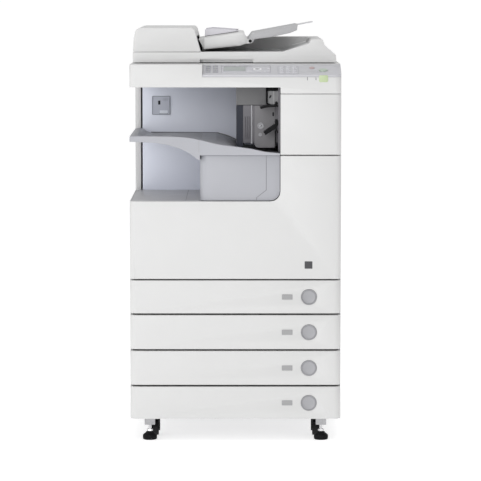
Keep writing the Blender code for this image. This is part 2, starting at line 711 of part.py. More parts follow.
def power_switch():
    """Rocker in the right cover. It turns on a cross axis inside the cover."""
    half_y, half_z = SWITCH_WIDTH / 2, SWITCH_HEIGHT / 2
    rocker = box(
        "power_switch",
        (RIGHT - SWITCH_DEPTH, SWITCH_Y - half_y, SWITCH_Z - half_z),
        (RIGHT - GAP, SWITCH_Y + half_y, SWITCH_Z + half_z),
        "black_plastic",
    )
    set_origin(rocker, (RIGHT - SWITCH_DEPTH * 0.78, SWITCH_Y, SWITCH_Z))


def front_cover():
    """Large front cover, cut away round the recess. It turns on its lower front edge."""
    bottom = DECK_Z + COVER_GAP / 2
    cover = front_panel(
        "front_cover", LEFT, RIGHT, bottom, STEP_Z - COVER_GAP / 2, "white_plastic"
    )
    corners = [
        (LEFT - PANEL, FLOOR_Z),
        (RECESS_RIGHT + GAP, FLOOR_Z, RECESS_CORNER),
        (RECESS_RIGHT + GAP, STEP_Z + PANEL),
        (LEFT - PANEL, STEP_Z + PANEL),
    ]
    recess = prism("recess_shape", corners, "Y", FRONT - PANEL, PANEL_BACK + PANEL)
    cut(cover, recess, *hinge_edge_cuts("front_cover_edge", bottom))
    set_origin(cover, (0, FRONT + COVER_EDGE, bottom + COVER_EDGE))


def toner_cover():
    """Upper right front cover over the toner bottle. It turns on its lower front edge."""
    bottom = STEP_Z + COVER_GAP / 2
    cover = front_panel(
        "toner_cover", RECESS_RIGHT + GAP, RIGHT, bottom, TONER_COVER_TOP, "white_plastic"
    )
    cut(cover, *hinge_edge_cuts("toner_cover_edge", bottom))
    set_origin(cover, (RECESS_RIGHT, FRONT + COVER_EDGE, bottom + COVER_EDGE))


def jam_door():
    """Side door over the paper path. It turns on its upright back edge."""
    plan = [
        (RIGHT - DOOR_THICKNESS, DOOR_FRONT_Y),
        (RIGHT, DOOR_FRONT_Y),
        (RIGHT, DOOR_BACK_Y, COVER_EDGE),
        (RIGHT - DOOR_THICKNESS, DOOR_BACK_Y),
    ]
    door = prism("jam_door", plan, "Z", DOOR_BOTTOM, DOOR_TOP, "white_plastic")
    pocket = box(
        "bypass_pocket",
        (
            RIGHT - BYPASS_THICKNESS - 2 * GAP,
            BYPASS_FRONT_Y - SLIDE_GAP,
            BYPASS_BOTTOM - SLIDE_GAP,
        ),
        (RIGHT + SKIN, BYPASS_BACK_Y + SLIDE_GAP, BYPASS_TOP + SLIDE_GAP),
    )
    cut(door, pocket)
    set_origin(door, (RIGHT - COVER_EDGE, DOOR_BACK_Y - COVER_EDGE, DOOR_BOTTOM))
    tray = bypass_tray()
    attach(tray, door)


def bypass_tray():
    """Hand-feed tray folded flat into the side door. It turns on its lower edge."""
    outer = RIGHT - GAP
    half = BYPASS_THICKNESS / 2
    side = [
        (outer - BYPASS_THICKNESS, BYPASS_BOTTOM, half * 0.98),
        (outer, BYPASS_BOTTOM, half * 0.98),
        (outer, BYPASS_TOP),
        (outer - BYPASS_THICKNESS, BYPASS_TOP),
    ]
    tray = prism("bypass_tray", side, "Y", BYPASS_FRONT_Y, BYPASS_BACK_Y, "white_plastic")
    set_origin(tray, (outer - half, BYPASS_FRONT_Y, BYPASS_BOTTOM + half))
    return tray


def covers():
    left_cover()
    right_cover()
    rear_cover()
    power_inlet()
    power_switch()
    front_cover()
    toner_cover()
    jam_door()


# Engine -----------------------------------------------------------------------------------


def engine_deck():
    box(
        "engine_deck",
        (INSIDE_LEFT, INSIDE_FRONT, DECK_Z),
        (INSIDE_RIGHT, INSIDE_BACK, DECK_TOP),
        "steel",
    )


def engine_plate(name, front_y, toner_hole):
    """Upright plate that carries one end of the drum, the fuser roller and the toner bottle."""
    left, right = LEFT + ENGINE_LEFT_ROOM, RIGHT - ENGINE_RIGHT_ROOM
    tower_left = RECESS_RIGHT + ENGINE_TOWER_ROOM
    corners = [
        (left, DECK_TOP + GAP),
        (right, DECK_TOP + GAP),
        (right, SCANNER_Z - GAP),
        (tower_left, SCANNER_Z - GAP),
        (tower_left, FLOOR_UNDER - GAP),
        (left, FLOOR_UNDER - GAP),
    ]
    back_y = front_y + ENGINE_PLATE
    plate = prism(name, corners, "Y", front_y, back_y, "steel")
    holes = (
        (DRUM_X, DRUM_Z, SHAFT_RADIUS),
        (FUSER_X, FUSER_Z, SHAFT_RADIUS),
        (TONER_X, TONER_Z, toner_hole),
    )
    for x, z, radius in holes:
        start, end = (x, front_y - ENGINE_PLATE, z), (x, back_y + ENGINE_PLATE, z)
        cut(plate, cylinder("plate_hole", start, end, radius + SLIDE_GAP))


def roller(name, x, z, radius, finish):
    """A roller between the engine plates, with a shaft that runs in both."""
    front = ENGINE_FRONT_Y + ENGINE_PLATE + SHAFT_STUB
    length = ENGINE_BACK_Y - SHAFT_STUB - front
    reach = SHAFT_STUB + ENGINE_PLATE + SHAFT_PAST
    profile = [
        (0, length + reach),
        (SHAFT_RADIUS, length + reach),
        (SHAFT_RADIUS, length),
        (radius, length),
        (radius, 0),
        (SHAFT_RADIUS, 0),
        (SHAFT_RADIUS, -reach),
        (0, -reach),
    ]
    turned(name, profile, (x, front, z), (0, 1, 0), finish)


def toner_bottle():
    """Bottle that turns in the front plate's round hole and on its boss in the back plate."""
    front = PANEL_BACK + 0.004
    length = ENGINE_BACK_Y - TONER_STUB - front
    reach = TONER_STUB + ENGINE_PLATE + SHAFT_PAST
    profile = [
        (0, length + reach),
        (TONER_BOSS, length + reach),
        (TONER_BOSS, length),
        (TONER_RADIUS, length - TONER_NECK),
        (TONER_RADIUS, TONER_NECK / 2),
        (TONER_RADIUS - TONER_NECK / 2, 0),
        (0, 0),
    ]
    turned(
        "toner_bottle", profile, (TONER_X, front, TONER_Z), (0, 1, 0), "toner_blue", 32
    )


def engine():
    engine_deck()
    engine_plate("front_engine_plate", ENGINE_FRONT_Y, TONER_RADIUS)
    engine_plate("rear_engine_plate", ENGINE_BACK_Y, TONER_BOSS)
    roller("drum", DRUM_X, DRUM_Z, DRUM_RADIUS, "drum_green")
    roller("fuser_roller", FUSER_X, FUSER_Z, FUSER_RADIUS, "fuser_red")
    toner_bottle()


# Delivery recess --------------------------------------------------------------------------


def recess_floor():
    box(
        "recess_floor",
        (INSIDE_LEFT, INSIDE_FRONT, FLOOR_UNDER),
        (TOWER_LEFT, RECESS_BACK - GAP, FLOOR_Z),
        "panel_grey",
    )


def recess_back_panel():
    """Grey wall behind the recess, with the raised plate of a service cover."""
    left = LEFT + COLUMN_WIDTH + COLUMN_GROOVE
    panel = box(
        "recess_back_panel",
        (left, RECESS_BACK, FLOOR_UNDER),
        (TOWER_LEFT, RECESS_BACK + SKIN, SCANNER_Z - GAP),
        "panel_grey",
    )
    plate = box(
        "service_plate",
        (LEFT + SERVICE_LEFT, RECESS_BACK - SERVICE_PROUD, FLOOR_Z + SERVICE_RISE),
        (
            LEFT + SERVICE_LEFT + SERVICE_WIDTH,
            RECESS_BACK + SKIN / 2,
            FLOOR_Z + SERVICE_RISE + SERVICE_HEIGHT,
        ),
    )
    join(panel, plate)


def tray_support():
    """Hollow block under the delivery tray, open below, on a low foot behind the front cover."""
    front = FRONT + SUPPORT_SETBACK
    plan = [
        (SUPPORT_LEFT, front, SUPPORT_CORNER),
        (TOWER_LEFT, front),
        (TOWER_LEFT, RECESS_BACK - GAP),
        (SUPPORT_LEFT, RECESS_BACK - GAP),
    ]
    top = STEP_Z - GAP
    low = FLOOR_Z + SUPPORT_LIFT
    block = prism("tray_support", plan, "Z", low, top, "grey_plastic")
    face = [
        (SUPPORT_LEFT - 0.010, low),
        (TOWER_LEFT, low, RECESS_CORNER),
        (TOWER_LEFT, top + 0.010),
        (SUPPORT_LEFT - 0.010, top + 0.010),
    ]
    rounded_side = prism("support_face", face, "Y", FRONT, RECESS_BACK)
    combine(block, rounded_side, "INTERSECT")
    foot = box(
        "support_foot",
        (SUPPORT_LEFT + GAP, INSIDE_FRONT, FLOOR_Z + GAP),
        (TOWER_LEFT - RECESS_CORNER, RECESS_BACK - 2 * GAP, low + SUPPORT_WALL),
    )
    join(block, foot)
    wall = SUPPORT_WALL
    hollow = box(
        "support_hollow",
        (SUPPORT_LEFT + wall, front + 2 * SUPPORT_CORNER, FLOOR_Z - wall),
        (TOWER_LEFT - RECESS_CORNER, RECESS_BACK - GAP - wall, top - wall),
    )
    cut(block, hollow)


def output_tray():
    """Delivery tray, high at the left and low at the exit, with a scoop in its front edge."""
    left, edge = LEFT + GAP, SUPPORT_LEFT - GAP
    corners = [
        (TOWER_LEFT, STEP_Z),
        (TOWER_LEFT, STEP_Z + 0.0055),
        (TOWER_LEFT - 0.1324, STEP_Z + 0.0260),
        (TOWER_LEFT - 0.2174, STEP_Z + 0.0430),
        (TOWER_LEFT - 0.2794, STEP_Z + 0.0495),
        (left + 0.0372, STEP_Z + 0.0510),
        (left, STEP_Z + 0.0510, 0.003),
        (left, STEP_Z + 0.0360),
        (left + 0.0372, STEP_Z + 0.0350),
        (left + 0.0962, STEP_Z + 0.0320),
        (edge - 0.0387, STEP_Z + 0.0170),
        (edge - 0.0057, STEP_Z - 0.0120),
        (edge, STEP_Z - 0.0120),
        (edge, STEP_Z),
    ]
    tray = prism(
        "output_tray", corners, "Y", FRONT + 0.002, RECESS_BACK - GAP, "grey_plastic"
    )
    scoop_radius, scoop_x, scoop_low = 0.170, SUPPORT_LEFT + 0.054, STEP_Z + 0.024
    scoop = cylinder(
        "tray_scoop",
        (scoop_x, FRONT - 0.010, scoop_low + scoop_radius),
        (scoop_x, FRONT + 0.120, scoop_low + scoop_radius),
        scoop_radius,
        segments=64,
    )
    cut(tray, scoop)


def delivery_housing():
    """Exit unit at the right of the recess: a hollow box open towards the tower, a wing that
    closes the tower's side in front of it, and a notch with bearings for the exit roller."""
    top = SCANNER_Z - GAP
    wall = DELIVERY_WALL
    housing = box(
        "delivery_housing",
        (DELIVERY_LEFT, DELIVERY_FRONT, DELIVERY_BOTTOM),
        (TOWER_LEFT, RECESS_BACK - GAP, top),
        "dark_plastic",
    )
    hollow = box(
        "delivery_hollow",
        (
            EXIT_X + EXIT_RADIUS + 2 * wall,
            DELIVERY_FRONT + wall,
            DELIVERY_BOTTOM + wall,
        ),
        (TOWER_LEFT + wall, RECESS_BACK - GAP - wall, top - wall),
    )
    wing = box(
        "delivery_wing",
        (TOWER_LEFT - wall, PANEL_BACK + GAP, STEP_Z + 2 * wall),
        (TOWER_LEFT, DELIVERY_FRONT + wall / 2, top),
    )
    notch = box(
        "exit_notch",
        (DELIVERY_LEFT - wall, EXIT_FRONT_Y, EXIT_Z - EXIT_RADIUS - wall / 2),
        (EXIT_X + EXIT_RADIUS + wall, EXIT_BACK_Y, EXIT_Z + EXIT_RADIUS + wall / 2),
    )
    bearing = cylinder(
        "exit_bearing",
        (EXIT_X, EXIT_FRONT_Y - EXIT_BEARING, EXIT_Z),
        (EXIT_X, EXIT_BACK_Y + EXIT_BEARING, EXIT_Z),
        EXIT_SHAFT + SLIDE_GAP,
        segments=16,
    )
    cut(housing, hollow)
    join(housing, wing)
    cut(housing, notch, bearing)


def exit_roller():
    length = EXIT_BACK_Y - EXIT_FRONT_Y - 2 * SLIDE_GAP
    reach = EXIT_BEARING - SLIDE_GAP
    profile = [
        (0, length + reach),
        (EXIT_SHAFT, length + reach),
        (EXIT_SHAFT, length),
        (EXIT_RADIUS, length),
        (EXIT_RADIUS, 0),
        (EXIT_SHAFT, 0),
        (EXIT_SHAFT, -reach),
        (0, -reach),
    ]
    base = (EXIT_X, EXIT_FRONT_Y + SLIDE_GAP, EXIT_Z)
    turned("exit_roller", profile, base, (0, 1, 0), "roller_rubber", 16)


def paper_flag(level, length, drop, depth):
    """Lever that a full stack of paper lifts. Its shaft runs back to the exit unit."""
    pivot_z = STEP_Z + FLAG_RISES[level]
    tip_x, tip_z = FLAG_X - length, pivot_z - drop
    flag = cylinder(
        f"paper_flag_{level}",
        (FLAG_X, FLAG_Y, pivot_z),
        (FLAG_X, DELIVERY_FRONT - SLIDE_GAP, pivot_z),
        FLAG_HUB,
        "black_plastic",
        segments=16,
    )
    blade = [
        (FLAG_X, pivot_z - FLAG_HUB / 2),
        (FLAG_X, pivot_z + FLAG_HUB / 2),
        (tip_x, tip_z + depth / 2),
        (tip_x, tip_z - depth / 2),
    ]
    join(flag, prism("flag_blade", blade, "Y", FLAG_Y + GAP, FLAG_Y + FLAG_WIDTH))
    set_origin(flag, (FLAG_X, FLAG_Y, pivot_z))


def recess():
    recess_floor()
    recess_back_panel()
    tray_support()
    output_tray()
    delivery_housing()
    exit_roller()
    paper_flag("upper", length=0.044, drop=0.012, depth=0.006)
    paper_flag("lower", length=0.036, drop=0.031, depth=0.012)


# Scanner ----------------------------------------------------------------------------------


def slope_point(up, height):
    """A place (y, z) on the control panel's slope, that far up it and off it."""
    run = Vector((CONTROL_BACK_Y - FRONT, CONTROL_TOP - CONTROL_LIP)).normalized()
    start = Vector((FRONT, CONTROL_LIP))
    return start + run * up + Vector((-run.y, run.x)) * height


def scanner_housing():
    """Casing with a cavity for the carriage, a window for the glass and room for the panel."""
    plan = [
        (LEFT, FRONT, PANEL_CORNER),
        (RIGHT, FRONT, PANEL_CORNER),
        (RIGHT, BACK - SKIN),
        (LEFT, BACK - SKIN),
    ]
    housing = prism("scanner_housing", plan, "Z", SCANNER_Z, SCANNER_TOP, "white_plastic")
    strip = front_panel(
        "tower_strip",
        RECESS_RIGHT + GAP,
        RIGHT,
        TONER_COVER_TOP + COVER_GAP / 2,
        SCANNER_Z + 0.002,
        None,
    )
    cavity = box(
        "scanner_cavity",
        (LEFT + SCANNER_WALL, SCANNER_FRONT_WALL_Y, SCANNER_Z + SCANNER_FLOOR),
        (
            RIGHT - SCANNER_WALL,
            SCANNER_BACK_WALL_Y,
            SCANNER_TOP - GLASS_THICKNESS - GAP - SCANNER_LEDGE,
        ),
    )
    window = box(
        "scanner_window",
        (GLASS_LEFT + GLASS_SEAT, GLASS_FRONT_Y + GLASS_SEAT, SCANNER_TOP - 0.012),
        (GLASS_RIGHT - GLASS_SEAT, GLASS_BACK_Y - GLASS_SEAT, SCANNER_TOP + 0.002),
    )
    rebate = box(
        "glass_rebate",
        (GLASS_LEFT - GAP, GLASS_FRONT_Y - GAP, SCANNER_TOP - GLASS_THICKNESS - GAP),
        (GLASS_RIGHT + GAP, GLASS_BACK_Y + GAP, SCANNER_TOP + 0.002),
    )
    panel_room = box(
        "panel_room",
        (CONTROL_LEFT, FRONT - PANEL, CONTROL_BOTTOM - GAP),
        (RIGHT + SKIN, CONTROL_BACK_Y + GAP, SCANNER_TOP + 0.002),
    )
    join(housing, strip)
    cut(housing, cavity, window, rebate, panel_room)
    floor = SCANNER_Z + SCANNER_FLOOR
    for y in RAIL_YS:
        rail = box(
            "scan_rail",
            (LEFT + SCANNER_WALL / 2, y - SCAN_RAIL_WIDTH / 2, floor - 0.002),
            (RIGHT - SCANNER_WALL / 2, y + SCAN_RAIL_WIDTH / 2, floor + SCAN_RAIL_HEIGHT),
        )
        join(housing, rail)
    for x in (-HINGE_SPREAD, HINGE_SPREAD):
        join(housing, *hinge_lugs(x))


def hinge_lugs(x):
    """Two ears and the pin between them, which carry one arm of the feeder."""
    side = [
        (HINGE_Y - HINGE_RADIUS, SCANNER_TOP - HINGE_PIN),
        (HINGE_Y + HINGE_RADIUS, SCANNER_TOP - HINGE_PIN),
        (HINGE_Y + HINGE_RADIUS, HINGE_Z + HINGE_RADIUS, HINGE_RADIUS * 0.95),
        (HINGE_Y - HINGE_RADIUS, HINGE_Z + HINGE_RADIUS, HINGE_RADIUS * 0.95),
    ]
    half = HINGE_ARM / 2 + SLIDE_GAP
    ears = [
        prism("hinge_ear", side, "X", x - half - HINGE_LUG, x - half),
        prism("hinge_ear", side, "X", x + half, x + half + HINGE_LUG),
    ]
    reach = half + HINGE_LUG / 2
    start, end = (x - reach, HINGE_Y, HINGE_Z), (x + reach, HINGE_Y, HINGE_Z)
    return [*ears, cylinder("hinge_pin", start, end, HINGE_PIN, segments=16)]


def platen_glass():
    box(
        "platen_glass",
        (GLASS_LEFT, GLASS_FRONT_Y, SCANNER_TOP - GLASS_THICKNESS),
        (GLASS_RIGHT, GLASS_BACK_Y, SCANNER_TOP),
        "platen_glass",
    )


def scan_carriage():
    """Lamp and mirror carriage, parked at the left on its two rails."""
    low = SCANNER_Z + SCANNER_FLOOR + SCAN_RAIL_HEIGHT + GAP
    carriage = box(
        "scan_carriage",
        (CARRIAGE_X - CARRIAGE_WIDTH / 2, GLASS_FRONT_Y, low),
        (CARRIAGE_X + CARRIAGE_WIDTH / 2, RAIL_YS[1] + 0.020, low + CARRIAGE_HEIGHT),
        "dark_plastic",
    )
    set_origin(carriage, (CARRIAGE_X, 0, low))


def control_panel():
    """Sloping operator panel with pockets for the display and two keys."""
    side = [
        (FRONT, CONTROL_BOTTOM),
        (FRONT, CONTROL_LIP),
        (CONTROL_BACK_Y, CONTROL_TOP),
        (CONTROL_BACK_Y, CONTROL_BOTTOM),
    ]
    left, right = CONTROL_LEFT + GAP, RIGHT
    panel = prism("control_panel", side, "X", left, right, "grey_plastic")
    end_room = [
        (RIGHT - PANEL_CORNER, FRONT - 0.010),
        (RIGHT + 0.010, FRONT - 0.010),
        (RIGHT + 0.010, FRONT + PANEL_CORNER),
        (RIGHT, FRONT + PANEL_CORNER),
    ]
    for k in range(1, 6):
        angle = math.radians(90 * k / 6)
        x = RIGHT - PANEL_CORNER + PANEL_CORNER * math.cos(angle)
        end_room.append((x, FRONT + PANEL_CORNER - PANEL_CORNER * math.sin(angle)))
    end_room.append((RIGHT - PANEL_CORNER, FRONT))
    cut(
        panel,
        prism("panel_end", end_room, "Z", CONTROL_BOTTOM - 0.010, CONTROL_TOP + 0.010),
        display_block("display_pocket", GAP, 0.010, None),
        key_block("start_pocket", START_X, START_UP, START_RADIUS + SLIDE_GAP, KEY_DEPTH, 0.010),
        key_block("stop_pocket", STOP_X, STOP_UP, STOP_RADIUS + SLIDE_GAP, KEY_DEPTH, 0.010),
    )


def display_block(name, margin, proud, finish):
    """The display, or its pocket: a slab lying in the panel's slope."""
    deep = DISPLAY_THICKNESS - DISPLAY_PROUD + margin
    side = [
        slope_point(DISPLAY_FROM - margin, -deep),
        slope_point(DISPLAY_FROM - margin, proud),
        slope_point(DISPLAY_TO + margin, proud),
        slope_point(DISPLAY_TO + margin, -deep),
    ]
    left, right = DISPLAY_LEFT - margin, DISPLAY_RIGHT + margin
    return prism(name, [tuple(point) for point in side], "X", left, right, finish)


def key_block(name, x, up, radius, deep, proud, finish=None):
    """A round key, or its pocket, square to the panel's slope."""
    start, end = slope_point(up, -deep), slope_point(up, proud)
    return cylinder(name, (x, *start), (x, *end), radius, finish)


def keys():
    deep = KEY_LENGTH - KEY_PROUD
    for name, x, up, radius, finish in (
        ("start_key", START_X, START_UP, START_RADIUS, "start_green"),
        ("stop_key", STOP_X, STOP_UP, STOP_RADIUS, "stop_red"),
    ):
        key = key_block(name, x, up, radius, deep, KEY_PROUD, finish)
        set_origin(key, (x, *slope_point(up, KEY_PROUD)))


def scanner():
    scanner_housing()
    platen_glass()
    scan_carriage()
    control_panel()
    display_block("display_screen", 0, DISPLAY_PROUD, "display")
    keys()


# Document feeder --------------------------------------------------------------------------


def tray_block():
    """Outline of the sloping block that carries the document tray and its guides."""
    return [
        (WELL_LEFT, WELL_Z + 0.0060),
        (WELL_LEFT + 0.0990, WELL_Z + 0.0165),
        (TRAY_PIVOT_X - TRAY_LUG - SLIDE_GAP, WELL_Z + 0.0240),
        (WELL_LEFT + 0.1070, WELL_Z + 0.0520),
        (WELL_LEFT + 0.0935, WELL_Z + 0.0530),
        (FEEDER_RIGHT - 0.0075, WELL_Z + 0.0343),
    ]


def feeder_base():
    """Lid over the glass: left bed under the feeder cover, the well that takes the originals,
    the raised right rim, the tray block with two ears, and the two hinge arms."""
    corners = [
        (LID_LEFT, LID_Z),
        (LID_RIGHT, LID_Z),
        (LID_RIGHT - 0.0014, LID_Z + 0.0207),
        (LID_RIGHT - 0.0136, LID_Z + 0.0316),
        (LID_RIGHT - 0.0244, LID_Z + 0.0400),
        (LID_RIGHT - 0.0320, LID_Z + 0.0480),
        (LID_RIGHT - 0.0368, RIM_Z),
        (WELL_LEFT, RIM_Z),
        (WELL_LEFT, WELL_Z),
        (LID_LEFT, WELL_Z),
    ]
    base = prism("feeder_base", corners, "Y", LID_FRONT_Y, LID_BACK_Y, "white_plastic")
    past = 0.010
    well = [
        (WELL_LEFT - past, WELL_Z),
        (LID_RIGHT - 0.1464, WELL_Z),
        (LID_RIGHT - 0.0744, WELL_Z + 0.0220),
        (LID_RIGHT - 0.0624, RIM_Z + past),
        (WELL_LEFT - past, RIM_Z + past),
    ]
    grip = box(
        "grip_room",
        (GRIP_LEFT, LID_FRONT_Y - past, LID_Z - past),
        (GRIP_LEFT + GRIP_WIDTH, LID_FRONT_Y + GRIP_DEPTH, LID_Z + GRIP_HEIGHT),
    )
    cut(
        base,
        prism("well_room", well, "Y", LID_FRONT_Y - past, WELL_BACK_Y),
        box("pad_room", *pad_corners(GAP)),
        grip,
    )
    block = prism("tray_block", tray_block(), "Y", TRAY_FRONT_Y, WELL_BACK_Y + TRAY_BLOCK_PAST)
    join(base, block)
    for low, inward in tray_ears():
        join(base, *tray_ear(low, inward))
    for x in (-HINGE_SPREAD, HINGE_SPREAD):
        join(base, hinge_arm(x))
        half = HINGE_ARM / 2 + HINGE_LUG / 2
        bore = cylinder(
            "hinge_bore",
            (x - half, HINGE_Y, HINGE_Z),
            (x + half, HINGE_Y, HINGE_Z),
            HINGE_PIN + SLIDE_GAP,
            segments=16,
        )
        cut(base, bore)
    set_origin(base, (0, HINGE_Y, HINGE_Z))
    return base


def hinge_arm(x):
    low, high = HINGE_Z - HINGE_RADIUS + GAP, HINGE_Z + HINGE_RADIUS - GAP
    back, corner = HINGE_Y + HINGE_RADIUS - GAP, HINGE_RADIUS * 0.9
    side = [
        (LID_BACK_Y - HINGE_RADIUS / 2, low),
        (back, low, corner),
        (back, high, corner),
        (LID_BACK_Y - HINGE_RADIUS / 2, high),
    ]
    return prism("hinge_arm", side, "X", x - HINGE_ARM / 2, x + HINGE_ARM / 2)


def tray_ears():
    """Each ear of the tray block: the lower Y of its plate, and the way to the tray."""
    return ((TRAY_FRONT_Y, 1), (WELL_BACK_Y - TRAY_EAR, -1))


def tray_ear(low, inward):
    """An ear round the tray's pivot, and its pin, which reaches into the tray."""
    reach = TRAY_LUG * 0.9
    ear = [
        (TRAY_PIVOT_X - 5 * TRAY_LUG, TRAY_PIVOT_Z - 1.7 * TRAY_LUG),
        (TRAY_PIVOT_X + reach, TRAY_PIVOT_Z - reach, reach * 0.8),
        (TRAY_PIVOT_X + reach, TRAY_PIVOT_Z + reach, reach * 0.8),
        (TRAY_PIVOT_X - 5 * TRAY_LUG, TRAY_PIVOT_Z + reach),
    ]
    middle = low + TRAY_EAR / 2
    pin = cylinder(
        "tray_pin",
        (TRAY_PIVOT_X, middle, TRAY_PIVOT_Z),
        (TRAY_PIVOT_X, middle + inward * (TRAY_EAR / 2 + 0.009), TRAY_PIVOT_Z),
        TRAY_PIN,
        segments=16,
    )
    return prism("tray_ear", ear, "Y", low, low + TRAY_EAR), pin


def pad_corners(margin):
    """The white pad's two corners, grown by a margin at its sides and its top."""
    low = (GLASS_LEFT + PAD_MARGIN - margin, GLASS_FRONT_Y + PAD_MARGIN - margin)
    high = (GLASS_RIGHT - PAD_MARGIN + margin, GLASS_BACK_Y - PAD_MARGIN + margin)
    bottom = SCANNER_TOP + GAP
    return (*low, bottom), (*high, bottom + PAD_THICKNESS + margin)


def feeder_cover():
    """Cover over the feed rollers, open below. It turns on its lower left edge."""
    bottom = WELL_Z + SLIDE_GAP
    outer = [
        (LID_LEFT, bottom, COVER_EDGE),
        (FEEDER_RIGHT, bottom),
        (FEEDER_RIGHT_TOP, FEEDER_TOP, 0.012),
        (LID_LEFT + 0.0080, FEEDER_TOP, 0.014),
        (LID_LEFT + 0.0024, WELL_Z + 0.0350),
    ]
    cover = prism("feeder_cover", outer, "Y", LID_FRONT_Y, LID_BACK_Y, "white_plastic")
    wall = FEEDER_WALL
    inner = [
        (LID_LEFT + 3 * wall, bottom - wall),
        (FEEDER_RIGHT - 1.2 * wall, bottom - wall),
        (FEEDER_RIGHT - 1.2 * wall, bottom),
        (FEEDER_RIGHT_TOP - wall, FEEDER_TOP - wall, 0.010),
        (LID_LEFT + 0.0080 + wall, FEEDER_TOP - wall, 0.010),
        (LID_LEFT + 3 * wall, WELL_Z + 0.0180),
    ]
    low, high = LID_FRONT_Y + wall, LID_BACK_Y - wall
    entry = box(
        "original_entry",
        (FEEDER_RIGHT_TOP - wall, TRAY_FRONT_Y - SLIDE_GAP, bottom - wall),
        (
            FEEDER_RIGHT + wall,
            WELL_BACK_Y + TRAY_BLOCK_PAST + SLIDE_GAP,
            WELL_Z + ENTRY_HEIGHT,
        ),
    )
    cut(cover, prism("feeder_hollow", inner, "Y", low, high), entry)
    set_origin(cover, (LID_LEFT + COVER_EDGE, LID_FRONT_Y, bottom + COVER_EDGE))
    return cover


def document_tray():
    """Tray that holds the originals. It lifts on the pins of the tray block's ears."""
    low = TRAY_FRONT_Y + TRAY_EAR + SLIDE_GAP
    high = WELL_BACK_Y - TRAY_EAR - SLIDE_GAP
    corners = [
        (TRAY_PIVOT_X - TRAY_LUG, TRAY_PIVOT_Z - TRAY_LUG, TRAY_LUG * 0.8),
        (TRAY_PIVOT_X + TRAY_LUG, TRAY_PIVOT_Z - TRAY_LUG, TRAY_LUG * 0.8),
        (TRAY_PIVOT_X + 0.0120, TRAY_PIVOT_Z + 0.0050),
        (TRAY_PIVOT_X + 0.0540, TRAY_PIVOT_Z + 0.0100),
        (TRAY_PIVOT_X + 0.1070, TRAY_PIVOT_Z + 0.0210),
        (TRAY_PIVOT_X + 0.1270, TRAY_PIVOT_Z + 0.0290),
        (TRAY_PIVOT_X + 0.1290, TRAY_PIVOT_Z + 0.0440),
        (TRAY_PIVOT_X + 0.0540, TRAY_PIVOT_Z + 0.0300),
        (TRAY_PIVOT_X + 0.0050, TRAY_PIVOT_Z + 0.0210),
        (TRAY_PIVOT_X - TRAY_LUG, TRAY_PIVOT_Z + TRAY_LUG, TRAY_LUG * 0.8),
    ]
    tray = prism("document_tray", corners, "Y", low, high, "grey_plastic")
    for near, far in ((low - 0.005, low + 0.010), (high - 0.010, high + 0.005)):
        bore = cylinder(
            "tray_bore",
            (TRAY_PIVOT_X, near, TRAY_PIVOT_Z),
            (TRAY_PIVOT_X, far, TRAY_PIVOT_Z),
            TRAY_PIN + SLIDE_GAP,
            segments=16,
        )
        cut(tray, bore)
    cut(tray, extension_slab("extension_slot", GAP, EXTENSION_PULL + 0.002, 0.020, None))
    set_origin(tray, (TRAY_PIVOT_X, low, TRAY_PIVOT_Z))
    return tray


def extension_slab(name, margin, deeper, further, finish):
    """The tray's pull-out leaf, or its slot, along the tray's slope."""
    along = Vector((math.cos(TRAY_SLOPE), math.sin(TRAY_SLOPE)))
    across = Vector((-along.y, along.x)) * (EXTENSION_THICKNESS / 2 + margin)
    end = Vector((EXTENSION_END_X, EXTENSION_END_Z)) + along * further
    start = end - along * (EXTENSION_LENGTH + deeper + further)
    side = [tuple(start - across), tuple(end - across), tuple(end + across), tuple(start + across)]
    middle = (TRAY_FRONT_Y + WELL_BACK_Y) / 2
    half = EXTENSION_WIDTH / 2 + margin
    return prism(name, side, "Y", middle - half, middle + half, finish)


def document_guide(name, sign):
    """Upright fence with a foot, which slides across the tray block."""
    points = tray_block()
    start, end = Vector(points[-1]), Vector(points[-2])
    along = (end - start).normalized()
    off = Vector((-along.y, along.x))

    def spot(x, height):
        return tuple(start + along * (x - start.x) / along.x + off * height)

    def strip(thickness):
        return [
            spot(GUIDE_LEFT, GAP),
            spot(GUIDE_RIGHT, GAP),
            spot(GUIDE_RIGHT, thickness),
            spot(GUIDE_LEFT, thickness),
        ]

    middle = (TRAY_FRONT_Y + WELL_BACK_Y) / 2
    edge = middle + sign * GUIDE_SPREAD
    fence = sorted((edge, edge + sign * GUIDE_THICKNESS))
    foot = sorted((edge + sign * GUIDE_THICKNESS, edge - sign * GUIDE_FOOT))
    guide = prism(name, strip(GUIDE_HEIGHT), "Y", *fence, "grey_plastic")
    join(guide, prism("guide_foot", strip(GUIDE_FOOT_HEIGHT), "Y", *foot))
    set_origin(guide, (GUIDE_LEFT, edge, spot(GUIDE_LEFT, 0)[1]))
    return guide


def feeder():
    base = feeder_base()
    pad = box("lid_pad", *pad_corners(0), "pad_white")
    tray = document_tray()
    extension = extension_slab("tray_extension", 0, 0, 0, "grey_plastic")
    set_origin(extension, (EXTENSION_END_X, (TRAY_FRONT_Y + WELL_BACK_Y) / 2, EXTENSION_END_Z))
    attach(extension, tray)
    pieces = (
        pad,
        feeder_cover(),
        tray,
        document_guide("document_guide_front", -1),
        document_guide("document_guide_back", 1),
    )
    for piece in pieces:
        attach(piece, base)


def main():
    clear_scene()
    new_collection("photocopier")
    new_collection("cutters")
    stand()
    drawers()
    covers()
    engine()
    recess()
    scanner()
    feeder()


main()
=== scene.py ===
"""Looks of a floor-standing office photocopier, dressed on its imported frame.

Lengths are in metres. X points right, Y points to the back and Z points up.
"""

import logging
import math
from collections.abc import Sequence
from dataclasses import dataclass, field
from enum import Enum

import bmesh
import bpy
from mathutils import Matrix, Vector


